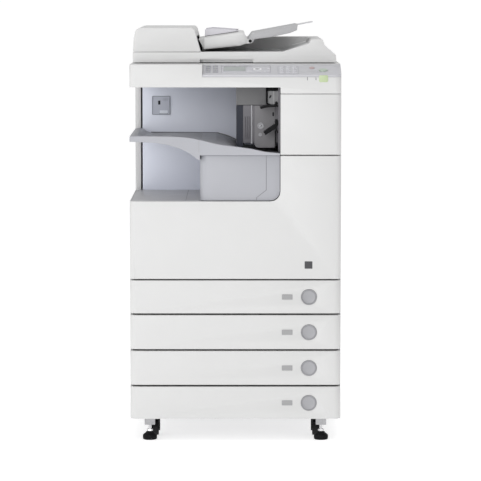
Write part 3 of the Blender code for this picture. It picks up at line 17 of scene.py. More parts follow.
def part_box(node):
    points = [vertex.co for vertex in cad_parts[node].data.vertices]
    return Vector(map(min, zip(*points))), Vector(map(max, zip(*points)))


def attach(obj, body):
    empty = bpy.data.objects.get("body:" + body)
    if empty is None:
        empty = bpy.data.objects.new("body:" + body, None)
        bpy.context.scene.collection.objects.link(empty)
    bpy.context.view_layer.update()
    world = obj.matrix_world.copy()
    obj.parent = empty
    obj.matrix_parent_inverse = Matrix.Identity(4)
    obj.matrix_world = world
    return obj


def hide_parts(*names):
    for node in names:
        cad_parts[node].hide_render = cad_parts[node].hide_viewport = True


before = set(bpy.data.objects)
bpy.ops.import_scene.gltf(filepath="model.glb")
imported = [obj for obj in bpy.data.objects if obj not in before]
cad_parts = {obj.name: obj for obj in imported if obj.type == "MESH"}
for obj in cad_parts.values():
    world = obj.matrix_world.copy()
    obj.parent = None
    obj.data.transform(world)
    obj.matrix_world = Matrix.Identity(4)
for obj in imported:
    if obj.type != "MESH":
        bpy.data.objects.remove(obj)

log = logging.getLogger("photocopier")

Point = tuple[float, float, float]
Corner = tuple[float, ...]
Line = Sequence[tuple[float, float]]
Shape = bmesh.types.BMesh
Mesh = bpy.types.Mesh
Socket = bpy.types.NodeSocket

PROUD = 0.0003  # how far a thin label or mark stands off its surface
SINK = 0.0004  # how far a fitted detail reaches into what carries it
GAP_UP = 0.0003  # play between two stacked pieces
FLAT_FROM = 0.0025  # area above which a face is shaded flat
FLAT_FROM_CARVED = 0.0001  # the same on a flat cover with slots cut in it
SHADED_SHARP = math.radians(34)  # edges sharper than this are shaded as edges
ROUNDED_FROM = math.radians(38)  # edges sharper than this are softened
SPOILT_FROM = 0.06  # share of a solid's volume that softening may change


class Axis(Enum):
    """Direction that an outline is drawn out along."""

    X = 0
    Y = 1
    Z = 2


class Texture(Enum):
    """Surface texture of a moulded or coated part: grain size and relief, in metres."""

    SATIN = (0.0007, 0.000010)
    SPARK = (0.0011, 0.000030)
    COARSE = (0.0022, 0.000120)
    POLISHED = (0.0030, 0.000001)


X, Y, Z = Axis
SATIN, SPARK, COARSE, POLISHED = Texture


def placed(name: str, data: bpy.types.ID | None) -> bpy.types.Object:
    """Makes an object of some data and links it to the scene.

    Args:
        name: The object's name.
        data: Its mesh, text, light or camera.

    Returns:
        The object.
    """
    item = bpy.data.objects.new(name, data)
    bpy.context.scene.collection.objects.link(item)
    return item


def final_mesh(item: bpy.types.Object) -> Mesh:
    """Takes a plain mesh of what an object has become, and removes the object.

    Args:
        item: The object.

    Returns:
        The plain mesh.
    """
    evaluated = item.evaluated_get(bpy.context.evaluated_depsgraph_get())
    mesh = bpy.data.meshes.new_from_object(evaluated)
    bpy.data.objects.remove(item)
    return mesh


def as_mesh(shape: Shape, name: str) -> Mesh:
    """Makes a shape, which is used up, a mesh.

    Args:
        shape: The shape.
        name: The mesh's name.

    Returns:
        The mesh.
    """
    mesh = bpy.data.meshes.new(name)
    shape.to_mesh(mesh)
    shape.free()
    return mesh


# Finishes ---------------------------------------------------------------------------------


class Shader:
    """A material's node tree, with short ways to add and join nodes."""

    def __init__(self, name: str) -> None:
        """Starts a material.

        Args:
            name: The material's name.
        """
        self.material = bpy.data.materials.new(name)
        self.material.use_nodes = True
        self.nodes = self.material.node_tree.nodes
        self.links = self.material.node_tree.links
        self.surface = self.nodes["Principled BSDF"]
        self.place = self.nodes.new("ShaderNodeTexCoord").outputs["Object"]

    def join(self, socket: Socket, value: object) -> None:
        """Sets an input, or joins it to another node's output.

        Args:
            socket: The input.
            value: A constant, set on the socket, or a socket to join.
        """
        if isinstance(value, Socket):
            self.links.new(value, socket)
        elif socket.type == "RGBA":
            socket.default_value = (*value, 1)
        else:
            socket.default_value = value

    def add(self, kind: str, **sockets: object) -> bpy.types.Node:
        """Adds a node.

        Args:
            kind: The node's type, without its prefix.
            **sockets: Values of its inputs, or sockets joined to them, by name.

        Returns:
            The node.
        """
        node = self.nodes.new(f"ShaderNode{kind}")
        for name, value in sockets.items():
            self.join(node.inputs[name.replace("_", " ")], value)
        return node

    def noise(self, size: float, detail: float = 2.0, stretch: Point | None = None) -> Socket:
        """Noise whose features are about one size.

        Args:
            size: Feature size in metres.
            detail: Number of octaves.
            stretch: Scale of the coordinates along each axis, or none.

        Returns:
            The noise value's socket.
        """
        where = self.place
        if stretch:
            where = self.add("Mapping", Vector=where, Scale=stretch).outputs["Vector"]
        return self.add("TexNoise", Vector=where, Scale=1 / size, Detail=detail).outputs["Fac"]

    def cells(self, size: float) -> Socket:
        """Distance to the middle of cells of one size."""
        return self.add("TexVoronoi", Vector=self.place, Scale=1 / size).outputs["Distance"]

    def spread(self, value: Socket, low: float = 0, high: float = 1) -> Socket:
        """Spreads the middle of a noise over a range."""
        return self.add("MapRange", Value=value, From_Min=0.3, From_Max=0.7, To_Min=low,
            To_Max=high).outputs["Result"]

    def mixed(self, share: Socket, first: Point, second: Point) -> Socket:
        """Mixes two colours.

        Args:
            share: How much of the second colour shows.
            first: The first colour.
            second: The second colour.

        Returns:
            The mixed colour's socket.
        """
        node = self.nodes.new("ShaderNodeMix")
        node.data_type = "RGBA"
        for socket, value in ((node.inputs["Factor"], share), (node.inputs[6], first),
                              (node.inputs[7], second)):
            self.join(socket, value)
        return node.outputs[2]

    def set(self, **inputs: object) -> None:
        """Sets or joins inputs of the surface shader, by name."""
        for name, value in inputs.items():
            self.join(self.surface.inputs[name.replace("_", " ")], value)

    def relief(self, height: Socket, depth: float) -> None:
        """Bumps the surface.

        Args:
            height: Height from 0 to 1.
            depth: Height of the bumps in metres.
        """
        bump = self.add("Bump", Height=height, Strength=1.0, Distance=depth)
        self.set(Normal=bump.outputs["Normal"])


@dataclass(frozen=True)
class Finish:
    """What a surface is made of. Each finish builds its material once.

    Attributes:
        name: The material's name.
        slot: The record's material slot that it belongs to. Not used.
        colour: Main colour, linear.
        roughness: Middle of the roughness range.
        texture: Size and depth of the moulded texture.
        mottle: Share by which the colour drifts over the part.
        gloss: Strength of the surface's own reflection.
    """

    name: str
    slot: str
    colour: Point
    roughness: float = 0.48
    texture: Texture = SATIN
    mottle: float = 0.025
    gloss: float = 0.5

    def coat(
        self, shader: Shader, drift: Socket, height: Socket, rise: int = 1, **inputs: object
    ) -> Socket:
        """Sets the drifting colour, the relief and further inputs.

        Args:
            shader: The material's tree.
            drift: How the colour drifts, from 0 to 1.
            height: Height of the relief, from 0 to 1.
            rise: 1 where the colour grows lighter with the drift, -1 where it grows darker.
            **inputs: Further inputs of the surface shader, by name.

        Returns:
            The colour's socket.
        """
        shades = [tuple(min(1.0, c * (1 + way * self.mottle)) for c in self.colour)
            for way in (-rise, rise)]
        colour = shader.mixed(drift, *shades)
        shader.set(Base_Color=colour, **inputs)
        shader.relief(height, self.texture.value[1])
        return colour

    def worn(self, shader: Shader, wear: Socket, less: float, more: float) -> Socket:
        """Roughness that runs with a noise from so much less to so much more than its middle."""
        return shader.spread(wear, self.roughness - less, self.roughness + more)

    def dress(self, shader: Shader) -> None:
        """Adds the nodes that make the finish.

        Args:
            shader: The material's tree.
        """
        drift, patches = shader.spread(shader.noise(0.22, 3.0)), shader.noise(0.035, 4.0)
        self.coat(shader, drift, shader.noise(self.texture.value[0]),
            Roughness=self.worn(shader, patches, 0.05, 0.05), Specular_IOR_Level=self.gloss)

    def material(self) -> bpy.types.Material:
        """The finish's material, built when it is first asked for.

        Returns:
            The material.
        """
        name = f"{self.name}_finish"
        found = bpy.data.materials.get(name)
        if found:
            return found
        shader = Shader(name)
        self.dress(shader)
        return shader.material


@dataclass(frozen=True)
class Sheet(Finish):
    """Zinc-plated sheet steel, with a faint spangle and a rolled grain."""

    def dress(self, shader: Shader) -> None:
        """Adds the nodes of the plated sheet."""
        grain = shader.noise(0.0016, 3.0, (1.0, 0.05, 1.0))
        self.coat(shader, shader.cells(0.006), grain, -1, Metallic=1.0,
            Roughness=self.worn(shader, grain, 0.08, 0.08))


@dataclass(frozen=True)
class Turned(Finish):
    """Bright turned or rolled metal, with fine rings across its length."""

    def dress(self, shader: Shader) -> None:
        """Adds the nodes of the turned metal."""
        rings = shader.noise(0.0009, 3.0, (1.0, 1.0, 6.0))
        self.coat(shader, shader.spread(rings), rings, Metallic=1.0,
            Roughness=self.worn(shader, rings, 0.06, 0.06))


@dataclass(frozen=True)
class Window(Finish):
    """Clear or smoked glass, or a glossy display window."""

    clear: float = 0.0

    def dress(self, shader: Shader) -> None:
        """Adds the nodes of the window."""
        smears = shader.noise(0.05, 4.0)
        self.coat(shader, shader.spread(smears), smears, Coat_Weight=0.4, Coat_Roughness=0.03,
            Roughness=self.worn(shader, smears, 0, 0.05), Transmission_Weight=self.clear)


@dataclass(frozen=True)
class Lamp(Finish):
    """A lit lens: coloured translucent plastic that glows most in its middle."""

    glow: float = 1.0

    def dress(self, shader: Shader) -> None:
        """Adds the nodes of the lit lens."""
        facets = shader.cells(0.0015)
        colour = self.coat(shader, facets, facets, Roughness=self.roughness,
            Emission_Strength=self.glow)
        shader.set(Emission_Color=colour)


@dataclass(frozen=True)
class Rubber(Finish):
    """Matt rubber with scuffs and a dusting of paper fibre."""

    def dress(self, shader: Shader) -> None:
        """Adds the nodes of the rubber."""
        scuffs, fibre = shader.noise(0.006, 5.0), shader.noise(self.texture.value[0], 3.0)
        self.coat(shader, shader.spread(scuffs), fibre, Specular_IOR_Level=0.25,
            Roughness=self.worn(shader, scuffs, 0.1, 0.1))


@dataclass(frozen=True)
class Foam(Finish):
    """White plastic sheet on foam, with the foam's cells showing faintly through."""

    def dress(self, shader: Shader) -> None:
        """Adds the nodes of the sheet on foam."""
        stain = shader.noise(0.08, 4.0)
        self.coat(shader, shader.spread(stain), shader.cells(0.0025),
            Roughness=self.worn(shader, stain, 0.06, 0.06))


@dataclass(frozen=True)
class Coated(Finish):
    """A polished coating, as on a drum, with a clear layer over its colour."""

    def dress(self, shader: Shader) -> None:
        """Adds the nodes of the coating."""
        wear = shader.noise(0.012, 4.0, (1.0, 0.1, 1.0))
        self.coat(shader, shader.spread(wear), wear, Coat_Weight=0.8, Coat_Roughness=0.06,
            Roughness=self.worn(shader, wear, 0, 0.08))


WHITE = Finish("moulded_white", "white_plastic", (0.6, 0.6, 0.598), 0.46, SPARK, 0.012)
SIDE_WHITE = Finish("moulded_side_white", "white_plastic", (0.6, 0.6, 0.6), 0.5, SPARK, 0.015)
INNER_WHITE = Finish("inner_grey_white", "white_plastic", (0.52, 0.53, 0.54), 0.55, COARSE, 0.02)
TRAY_GREY = Finish("tray_grey", "grey_plastic", (0.37, 0.375, 0.405), 0.42, SATIN, 0.02)
LIGHT_GREY = Finish("light_grey", "grey_plastic", (0.56, 0.56, 0.58), 0.42, SATIN, 0.02)
MID_GREY = Finish("mid_grey", "grey_plastic", (0.25, 0.25, 0.26), 0.5, SATIN, 0.03)
PANEL_BLUE = Finish("panel_blue_grey", "panel_grey", (0.655, 0.68, 0.765), 0.4, SATIN, 0.03)
FLOOR_GREY = Finish("recess_floor_grey", "panel_grey", (0.47, 0.47, 0.485), 0.4, SATIN, 0.03)
DARK_GREY = Finish("exit_dark_grey", "dark_plastic", (0.15, 0.15, 0.155), 0.42, SATIN, 0.05)
BLACK = Finish("moulded_black", "black_plastic", (0.008, 0.008, 0.009), 0.45, SPARK, 0.12, 0.08)
# Painted shadow: near-black put in vent slots, holes, slots and ports, and under the exit unit's
# upper plate, where there is only shade.
HOLLOW_SHADOW = Finish("seam_shadow", "black_plastic", (0.035, 0.035, 0.04), 0.7, COARSE, 0.10, 0.15)
FAINT_SEAM = Finish("faint_seam", "grey_plastic", (0.30, 0.30, 0.31), 0.6, COARSE, 0.05)
BUTTON = Finish("button_grey", "button_grey", (0.325, 0.325, 0.342), 0.38, SATIN, 0.03)
BUTTON_RIM = Finish("button_rim_grey", "button_grey", (0.30, 0.30, 0.32), 0.5, SATIN, 0.05)
KEY_WHITE = Finish("key_white", "grey_plastic", (0.56, 0.56, 0.59), 0.35, SATIN, 0.02)
KEY_GREY = Finish("key_grey", "grey_plastic", (0.33, 0.33, 0.36), 0.35, SATIN, 0.04)
PANEL_GREY = Finish("control_panel_grey", "grey_plastic", (0.48, 0.48, 0.505), 0.36, SATIN, 0.02)
BEZEL = Finish("display_bezel_grey", "display", (0.50, 0.50, 0.53), 0.25, POLISHED, 0.02)
STEEL = Sheet("zinc_sheet", "steel", (0.40, 0.40, 0.41), 0.38, SATIN, 0.10)
BRIGHT = Turned("turned_steel", "steel", (0.66, 0.66, 0.67), 0.25, SATIN, 0.08)
TYRE = Rubber("tyre_black", "wheel_black", (0.012, 0.012, 0.013), 0.70, COARSE, 0.25)
ROLLER = Rubber("roller_rubber", "roller_rubber", (0.16, 0.16, 0.17), 0.7, COARSE, 0.15)
GLASS = Window("platen_glass", "platen_glass", (0.80, 0.86, 0.84), 0.03, POLISHED, 0.02, clear=0.9)
DISPLAY = Window("display_window", "display", (0.30, 0.33, 0.32), 0.10, POLISHED, 0.06)
SMOKED = Window("smoked_mark", "display", (0.10, 0.10, 0.12), 0.15, POLISHED, 0.10)
PAD = Foam("pad_white", "pad_white", (0.80, 0.80, 0.79), 0.55, SPARK, 0.02)
DRUM = Coated("drum_green", "drum_green", (0.03, 0.20, 0.16), 0.12, POLISHED, 0.15)
FUSER = Coated("fuser_red", "fuser_red", (0.30, 0.05, 0.035), 0.35, SATIN, 0.12)
TONER = Finish("toner_bottle_blue", "toner_blue", (0.20, 0.24, 0.30), 0.45, SPARK, 0.06)
GREEN_TAB = Finish("release_green", "start_green", (0.03, 0.27, 0.12), 0.4, SATIN, 0.05)
START = Lamp("start_key_green", "start_green", (0.38, 0.45, 0.38), 0.3, SATIN, 0.10, glow=0.02)
READY = Lamp("ready_lamp", "start_green", (0.42, 0.50, 0.30), 0.3, SATIN, 0.08, glow=0.02)
STOP = Finish("stop_key_red", "stop_red", (0.45, 0.34, 0.34), 0.32, SATIN, 0.06)
PRINT_DARK = Finish("printed_dark", "black_plastic", (0.06, 0.06, 0.065), 0.5, SATIN, 0.05)
PLATE_DARK = Finish("sticker_dark", "black_plastic", (0.045, 0.045, 0.05), 0.35, POLISHED, 0.10)
PLATE_GREY = Finish("label_plate_grey", "grey_plastic", (0.31, 0.31, 0.315), 0.4, SATIN, 0.03)
PANEL_SHADE = Finish("panel_shade", "panel_grey", (0.3, 0.32, 0.37), 0.45, SATIN, 0.04)
PANEL_LIGHT = Finish("panel_light", "panel_grey", (0.66, 0.69, 0.76), 0.4, SATIN, 0.03)
# Painted shadow under the service plate's tab.
PANEL_TAB_SHADOW = Finish("panel_dark", "panel_grey", (0.12, 0.14, 0.17), 0.5, SATIN, 0.05)
PLATE_BLUE = Finish("service_plate_blue", "panel_grey", (0.46, 0.48, 0.55), 0.42, SATIN, 0.03)
SHADE_SEAM = Finish("shaded_seam", "grey_plastic", (0.16, 0.16, 0.17), 0.6, COARSE, 0.05)
# Painted shadow of the deep gap at the exit unit's left, with little reflection.
EXIT_GAP_SHADOW = Finish("exit_band_dark", "dark_plastic", (0.035, 0.038, 0.052), 0.4, SATIN, 0.05,
    gloss=0.15)
EXIT_MID = Finish("exit_mid_grey", "dark_plastic", (0.16, 0.155, 0.17), 0.42, SATIN, 0.04,
    gloss=0.3)
EXIT_PLATE = Finish("exit_plate_grey", "dark_plastic", (0.22, 0.215, 0.225), 0.40, SATIN, 0.04,
    gloss=0.3)
# Light grey of the bosses, also used as a painted highlight on the exit unit's upright rib.
EXIT_LIGHT_AND_HIGHLIGHT = Finish("exit_light_grey", "dark_plastic", (0.42, 0.42, 0.44), 0.36, SATIN, 0.03)
EXIT_BLOCK = Finish("exit_block_grey", "dark_plastic", (0.38, 0.38, 0.39), 0.40, SATIN, 0.04)
# Painted highlight: bright grey for the rib on the motor cover.
EXIT_RIB_HIGHLIGHT = Finish("exit_bright_grey", "dark_plastic", (0.52, 0.52, 0.53), 0.36, SATIN, 0.03)
KEY_BRIGHT = Finish("key_bright", "grey_plastic", (0.78, 0.78, 0.79), 0.35, SATIN, 0.02)
TRAY_FACE = Finish("document_tray_grey", "grey_plastic", (0.40, 0.40, 0.41), 0.42, SATIN, 0.02)
GUIDE_GREY = Finish("guide_grey", "grey_plastic", (0.60, 0.59, 0.63), 0.42, SATIN, 0.02)
# Painted light: lighter copies of the white plastic for the well under the document tray and the
# grip recess, which lie in shade.
WELL_PAINTED_LIGHT = Finish("well_grey", "white_plastic", (0.66, 0.66, 0.66), 0.55, SPARK, 0.03)
WELL_SLOPE_PAINTED_LIGHT = Finish("well_slope_grey", "white_plastic", (0.64, 0.64, 0.64), 0.5, SPARK, 0.03)
GRIP_PAINTED_LIGHT = Finish("grip_grey", "white_plastic", (0.74, 0.74, 0.74), 0.5, SPARK, 0.03)
PAPER = Lamp("floor_paper", "white_plastic", (0.66, 0.66, 0.66), 0.9, COARSE, 0.01, glow=0.92)
LAMP_WHITE = Lamp("scan_lamp_white", "platen_glass", (0.80, 0.82, 0.84), 0.3, SATIN, 0.03, glow=0.1)


# Shapes -----------------------------------------------------------------------------------


def skinned(loops: Sequence[Sequence[Point]], closed: bool = False) -> Shape:
    """Joins loops of points, one after another, into a solid.

    Args:
        loops: The loops, with as many points each. A loop of one point is a tip.
        closed: Whether the last loop joins the first. If not, both ends get a face.

    Returns:
        The closed solid.
    """
    shape = bmesh.new()
    rings = [[shape.verts.new(point) for point in loop] for loop in loops]
    count = max(len(ring) for ring in rings)
    for lower, upper in zip(rings, rings[1:] + rings[:1] if closed else rings[1:]):
        for k in range(count):
            corners = [row[(k + more) % len(row)]
                for row, more in ((lower, 0), (lower, 1), (upper, 1), (upper, 0))]
            corners = list(dict.fromkeys(corners))
            if len(corners) > 2:
                shape.faces.new(corners)
    for ring in () if closed else (rings[0], rings[-1]):
        if len(ring) > 1:
            shape.faces.new(ring)
    bmesh.ops.recalc_face_normals(shape, faces=shape.faces)
    return shape


def rounded(corners: Sequence[Corner], steps: int = 5) -> list[Vector]:
    """Rounds the corners of a flat outline.

    Args:
        corners: Points (u, v), or (u, v, radius) for a rounded corner.
        steps: Straight runs in each rounded corner.

    Returns:
        The outline's points, in order.
    """
    points = []
    count = len(corners)
    for i, corner in enumerate(corners):
        here = Vector(corner[:2])
        if len(corner) < 3 or corner[2] <= 0:
            points.append(here)
            continue
        before = (Vector(corners[i - 1][:2]) - here).normalized()
        after = (Vector(corners[(i + 1) % count][:2]) - here).normalized()
        half = before.angle(after) / 2
        reach = corner[2] / math.tan(half)
        middle = here + (before + after).normalized() * corner[2] / math.sin(half)
        start, end = here + before * reach - middle, here + after * reach - middle
        turn = start.angle_signed(end)
        for k in range(steps + 1):
            points.append(middle + Matrix.Rotation(-turn * k / steps, 2) @ start)
    return points


def oblong(left: float, low: float, right: float, high: float, radius: float = 0.0) -> list[Corner]:
    """The four corners of an upright oblong, rounded alike."""
    extra = (radius,) if radius else ()
    return [(u, v, *extra) for u, v in ((left, low), (right, low), (right, high), (left, high))]


def lifted(outline: Sequence[Vector], axis: Axis, along: float) -> list[Point]:
    """Puts a flat outline in space.

    Args:
        outline: Its points.
        axis: The axis it is drawn out on.
        along: Its place along that axis.

    Returns:
        The points in space.
    """
    spots = []
    for point in outline:
        spot = list(point)
        spot.insert(axis.value, along)
        spots.append(tuple(spot))
    return spots


def prism(corners: Sequence[Corner], axis: Axis, low: float, high: float, steps: int = 5) -> Shape:
    """Draws a flat outline out into a solid.

    Args:
        corners: The outline, as rounded() takes it: (y, z), (x, z) or (x, y).
        axis: The axis it is drawn out along.
        low: Where it starts.
        high: Where it ends.
        steps: Straight runs in each rounded corner.

    Returns:
        The closed solid.
    """
    outline = rounded(corners, steps)
    return skinned([lifted(outline, axis, low), lifted(outline, axis, high)])


def block(low: Point, high: Point, edge: float = 0.0006) -> Shape:
    """A block with softened edges.

    Args:
        low: Lowest corner.
        high: Highest corner.
        edge: Width of the softened edges.

    Returns:
        The closed solid.
    """
    shape = prism(oblong(low[0], low[2], high[0], high[2]), Y, low[1], high[1])
    edge = min(edge, *(0.3 * (h - l) for l, h in zip(low, high)))
    bmesh.ops.bevel(shape, geom=shape.edges[:], offset=edge, segments=2, profile=0.5,
        affect="EDGES")
    return shape


def turned(
    profile: Line, base: Point, direction: Point, segments: int = 48, closed: bool = False
) -> Shape:
    """Turns a profile round an axis.

    Args:
        profile: Points (radius, distance along the axis), from one end to the other.
        base: Where the axis starts.
        direction: Where it points.
        segments: Number of faces round it.
        closed: Whether the profile is a loop, as a tyre's or a washer's is.

    Returns:
        The closed solid.
    """
    turn = Vector((0, 0, 1)).rotation_difference(Vector(direction)).to_matrix().to_4x4()
    place = Matrix.Translation(Vector(base)) @ turn
    loops = []
    for radius, along in profile:
        angles = [2 * math.pi * k / segments for k in range(segments if radius else 1)]
        loops.append([place @ Vector((radius * math.cos(a), radius * math.sin(a), along))
            for a in angles])
    return skinned(loops, closed)


def ring(loop: Line, base: Point, direction: Point, segments: int = 40) -> Shape:
    """Turns a closed profile round an axis, as turned() does an open one."""
    return turned(loop, base, direction, segments, True)


def rod(radius: float, edge: float, base: Vector, length: float, segments: int = 24) -> Shape:
    """A round bar along y with bevelled ends.

    Args:
        radius: Its radius.
        edge: Width of the bevels.
        base: Middle of its front end.
        length: Its length.
        segments: Number of faces round it.

    Returns:
        The closed solid.
    """
    thin = radius - edge
    profile = [(0, 0), (thin, 0), (radius, edge), (radius, length - edge), (thin, length),
        (0, length)]
    return turned(profile, base, (0, 1, 0), segments)


def curved(points: Line, steps: int = 8) -> list[tuple[float, float]]:
    """A smooth line through points.

    Args:
        points: Where it passes.
        steps: Straight runs from each point to the next.

    Returns:
        The line's points.
    """
    line = []
    ends = [points[0], *points, points[-1]]
    for before, start, end, after in zip(ends, ends[1:], ends[2:], ends[3:]):
        p, q, r, s = (Vector(v) for v in (before, start, end, after))
        for k in range(steps):
            t = k / steps
            line.append(tuple(0.5 * (
                2 * q + (r - p) * t + (2 * p - 5 * q + 4 * r - s) * t * t
                + (3 * q - p - 3 * r + s) * t ** 3
            )))
    return [*line, tuple(points[-1])]


def stripe(path: Line, width: float, axis: Axis, low: float, high: float) -> Shape:
    """A flat bar of even width that follows a broken line.

    Args:
        path: The line's points, in the plane that the axis faces.
        width: The bar's width.
        axis: The axis it is drawn out along.
        low: Where it starts.
        high: Where it ends.

    Returns:
        The closed solid.
    """
    points = [Vector(p) for p in path]
    one_side, other_side = [], []
    for i, point in enumerate(points):
        before = (point - points[i - 1]).normalized() if i else None
        after = (points[i + 1] - point).normalized() if i + 1 < len(points) else None
        along = ((before or after) + (after or before)).normalized()
        reach = width / 2 / max(0.5, along.dot(before or after))
        across = Vector((-along.y, along.x)) * reach
        one_side.append(tuple(point + across))
        other_side.append(tuple(point - across))
    return prism(one_side + other_side[::-1], axis, low, high)


def figure_shape(figure: str, size: float, depth: float) -> Shape:
    """A printed figure or sign, its middle at the origin and facing up.

    Args:
        figure: The figure.
        size: Its height.
        depth: How thick it lies.

    Returns:
        The solid.
    """
    curve = bpy.data.curves.new("figure", "FONT")
    curve.body, curve.size, curve.extrude = figure, size, depth
    curve.align_x, curve.align_y, curve.resolution_u = "CENTER", "CENTER", 3
    shape = bmesh.new()
    shape.from_mesh(final_mesh(placed("figure", curve)))
    bmesh.ops.remove_doubles(shape, verts=shape.verts, dist=1e-6)
    return shape


def merged(*shapes: Shape) -> Shape:
    """Puts several solids in one mesh.

    Args:
        *shapes: The solids, which are used up.

    Returns:
        The mesh with all of them.
    """
    whole = bmesh.new()
    for shape in shapes:
        whole.from_mesh(as_mesh(shape, "scratch"))
    return whole


def tilted(shape: Shape, angle: float, axis: Axis, centre: Point = (0, 0, 0)) -> Shape:
    """Turns a solid about a line.

    Args:
        shape: The solid.
        angle: Turn in radians.
        axis: Direction of the line.
        centre: A point on the line.

    Returns:
        The same solid, turned.
    """
    turn = Matrix.Rotation(angle, 3, axis.name)
    bmesh.ops.rotate(shape, verts=shape.verts, cent=centre, matrix=turn)
    return shape


def cad_copy(node: str) -> Shape:
    """A merged copy of a frame node's mesh, with its flat faces made whole.

    Args:
        node: The node's name.

    Returns:
        The copy.
    """
    shape = bmesh.new()
    shape.from_mesh(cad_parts[node].data)
    bmesh.ops.remove_doubles(shape, verts=shape.verts, dist=1e-5)
    bmesh.ops.dissolve_limit(shape, angle_limit=math.radians(0.5), verts=shape.verts,
        edges=shape.edges)
    return shape


def cut_at(shape: Shape, point: Point, normal: Point) -> Shape:
    """Keeps what lies behind a plane, and closes the cut.

    Args:
        shape: The solid.
        point: A point on the plane.
        normal: Where the removed side is.

    Returns:
        The same solid, cut.
    """
    found = bmesh.ops.bisect_plane(shape, geom=shape.verts[:] + shape.edges[:] + shape.faces[:],
        dist=1e-6, plane_co=point, plane_no=normal, clear_outer=True)
    edges = [g for g in found["geom_cut"] if isinstance(g, bmesh.types.BMEdge)]
    bmesh.ops.holes_fill(shape, edges=edges)
    return shape


def frame_strip(
    corners: Sequence[Corner], width: float, axis: Axis, low: float, high: float
) -> Shape:
    """A flat frame that follows an outline on its inner side.

    Args:
        corners: Four corners of the outer outline, counter-clockwise, with their radii.
        width: The frame's width.
        axis: The axis that the frame faces.
        low: Where it starts.
        high: Where it ends.

    Returns:
        The closed solid.
    """
    middle = sum((Vector(c[:2]) for c in corners), Vector((0, 0))) / len(corners)
    inner = [(u - math.copysign(width, u - middle.x), v - math.copysign(width, v - middle.y),
        max(radius - width, 0.0001)) for u, v, radius in corners]
    outer, hole = rounded(corners), rounded(inner)
    return skinned([lifted(line, axis, along)
        for line, along in ((outer, low), (outer, high), (hole, high), (hole, low))], True)


def softened(shape: Shape, width: float, name: str) -> Shape:
    """Rounds a solid's longer sharp edges, as a mould leaves them.

    Args:
        shape: The solid.
        width: Width of the rounding.
        name: The part's name, for the log.

    Returns:
        The rounded solid, or the solid as it was where rounding would spoil it.
    """
    kept = shape.copy()
    volume = shape.calc_volume()
    edges = [
        e for e in shape.edges
        if e.is_manifold and e.calc_length() > 2.5 * width
        and abs(e.calc_face_angle_signed(0)) > ROUNDED_FROM
    ]
    bmesh.ops.bevel(shape, geom=edges, offset=width, segments=2, profile=0.5, affect="EDGES",
        clamp_overlap=False)
    bmesh.ops.remove_doubles(shape, verts=shape.verts, dist=2e-6)
    closed = all(len(e.link_faces) == 2 for e in shape.edges)
    change = abs(shape.calc_volume() / volume - 1) if volume else 1
    if closed and change < SPOILT_FROM:
        kept.free()
        return shape
    log.info("%s keeps its plain edges (closed %s, change %.3f)", name, closed, change)
    shape.free()
    return kept


# Repeats ----------------------------------------------------------------------------------


class Tree:
    """A geometry node tree that repeats a part or follows a path."""

    def __init__(self, name: str) -> None:
        """Starts a tree with a geometry input and output.

        Args:
            name: The tree's name.
        """
        self.group = bpy.data.node_groups.new(name, "GeometryNodeTree")
        for side in ("INPUT", "OUTPUT"):
            self.group.interface.new_socket("Geometry", in_out=side,
                socket_type="NodeSocketGeometry")
        self.start = self.group.nodes.new("NodeGroupInput")
        self.end = self.group.nodes.new("NodeGroupOutput")

    def size(self, name: str, kind: str = "Float") -> Socket:
        """Adds a named input.

        Args:
            name: The input's name.
            kind: Its socket type, without its prefix.

        Returns:
            The socket that gives its value inside the tree.
        """
        self.group.interface.new_socket(name, in_out="INPUT", socket_type=f"NodeSocket{kind}")
        return self.start.outputs[name]

    def add(self, kind: str, settings: dict[str, object] | None = None,
            **sockets: object) -> Socket:
        """Adds a node.

        Args:
            kind: The node's type. One without a prefix is a geometry node.
            settings: Its properties.
            **sockets: Values of its inputs, or sockets joined to them, by name.

        Returns:
            The node's first output.
        """
        node = self.group.nodes.new(kind if "Node" in kind else f"GeometryNode{kind}")
        for name, value in (settings or {}).items():
            setattr(node, name, value)
        for name, value in sockets.items():
            socket = node.inputs[name.replace("_", " ")]
            if isinstance(value, Socket):
                self.group.links.new(value, socket)
            else:
                socket.default_value = value
        return node.outputs[0]

    def lean(self, name: str) -> Socket:
        """A rotation that turns the z axis to a direction, which is an input with this name."""
        return self.add("FunctionNodeAlignRotationToVector", {"axis": "Z"},
            Vector=self.size(name, "Vector"))

    def parts(self, points: Socket, **sockets: object) -> Socket:
        """Puts the tree's part on points.

        Args:
            points: The points.
            **sockets: Further inputs, by name.

        Returns:
            The geometry.
        """
        info = self.group.nodes.new("GeometryNodeObjectInfo")
        self.group.links.new(self.size("Part", "Object"), info.inputs["Object"])
        return self.add("InstanceOnPoints", Points=points, Instance=info.outputs["Geometry"],
            **sockets)

    def stand(self, geometry: Socket, place: str) -> None:
        """Moves geometry to a place, turned to the direction, and ends the tree."""
        self.close(self.add("Transform", Geometry=geometry, Rotation=self.lean("Direction"),
            Translation=self.size(place, "Vector")))

    def close(self, geometry: Socket) -> None:
        """Ends the tree with real geometry and its material.

        Args:
            geometry: What the tree has made.
        """
        real = self.add("RealizeInstances", Geometry=geometry)
        dressed = self.add("SetMaterial", Geometry=real, Material=self.size("Material", "Material"))
        self.group.links.new(dressed, self.end.inputs[0])

    def grow(self, values: dict[str, object], base: Mesh) -> Mesh:
        """Runs the tree.

        Args:
            values: Values of the named inputs.
            base: The mesh that the tree starts from.

        Returns:
            The result, as a plain mesh.
        """
        carrier = placed("carrier", base)
        modifier = carrier.modifiers.new("grow", "NODES")
        modifier.node_group = self.group
        for item in self.group.interface.items_tree:
            if item.in_out == "INPUT" and item.name in values:
                modifier[item.identifier] = values[item.name]
        return final_mesh(carrier)


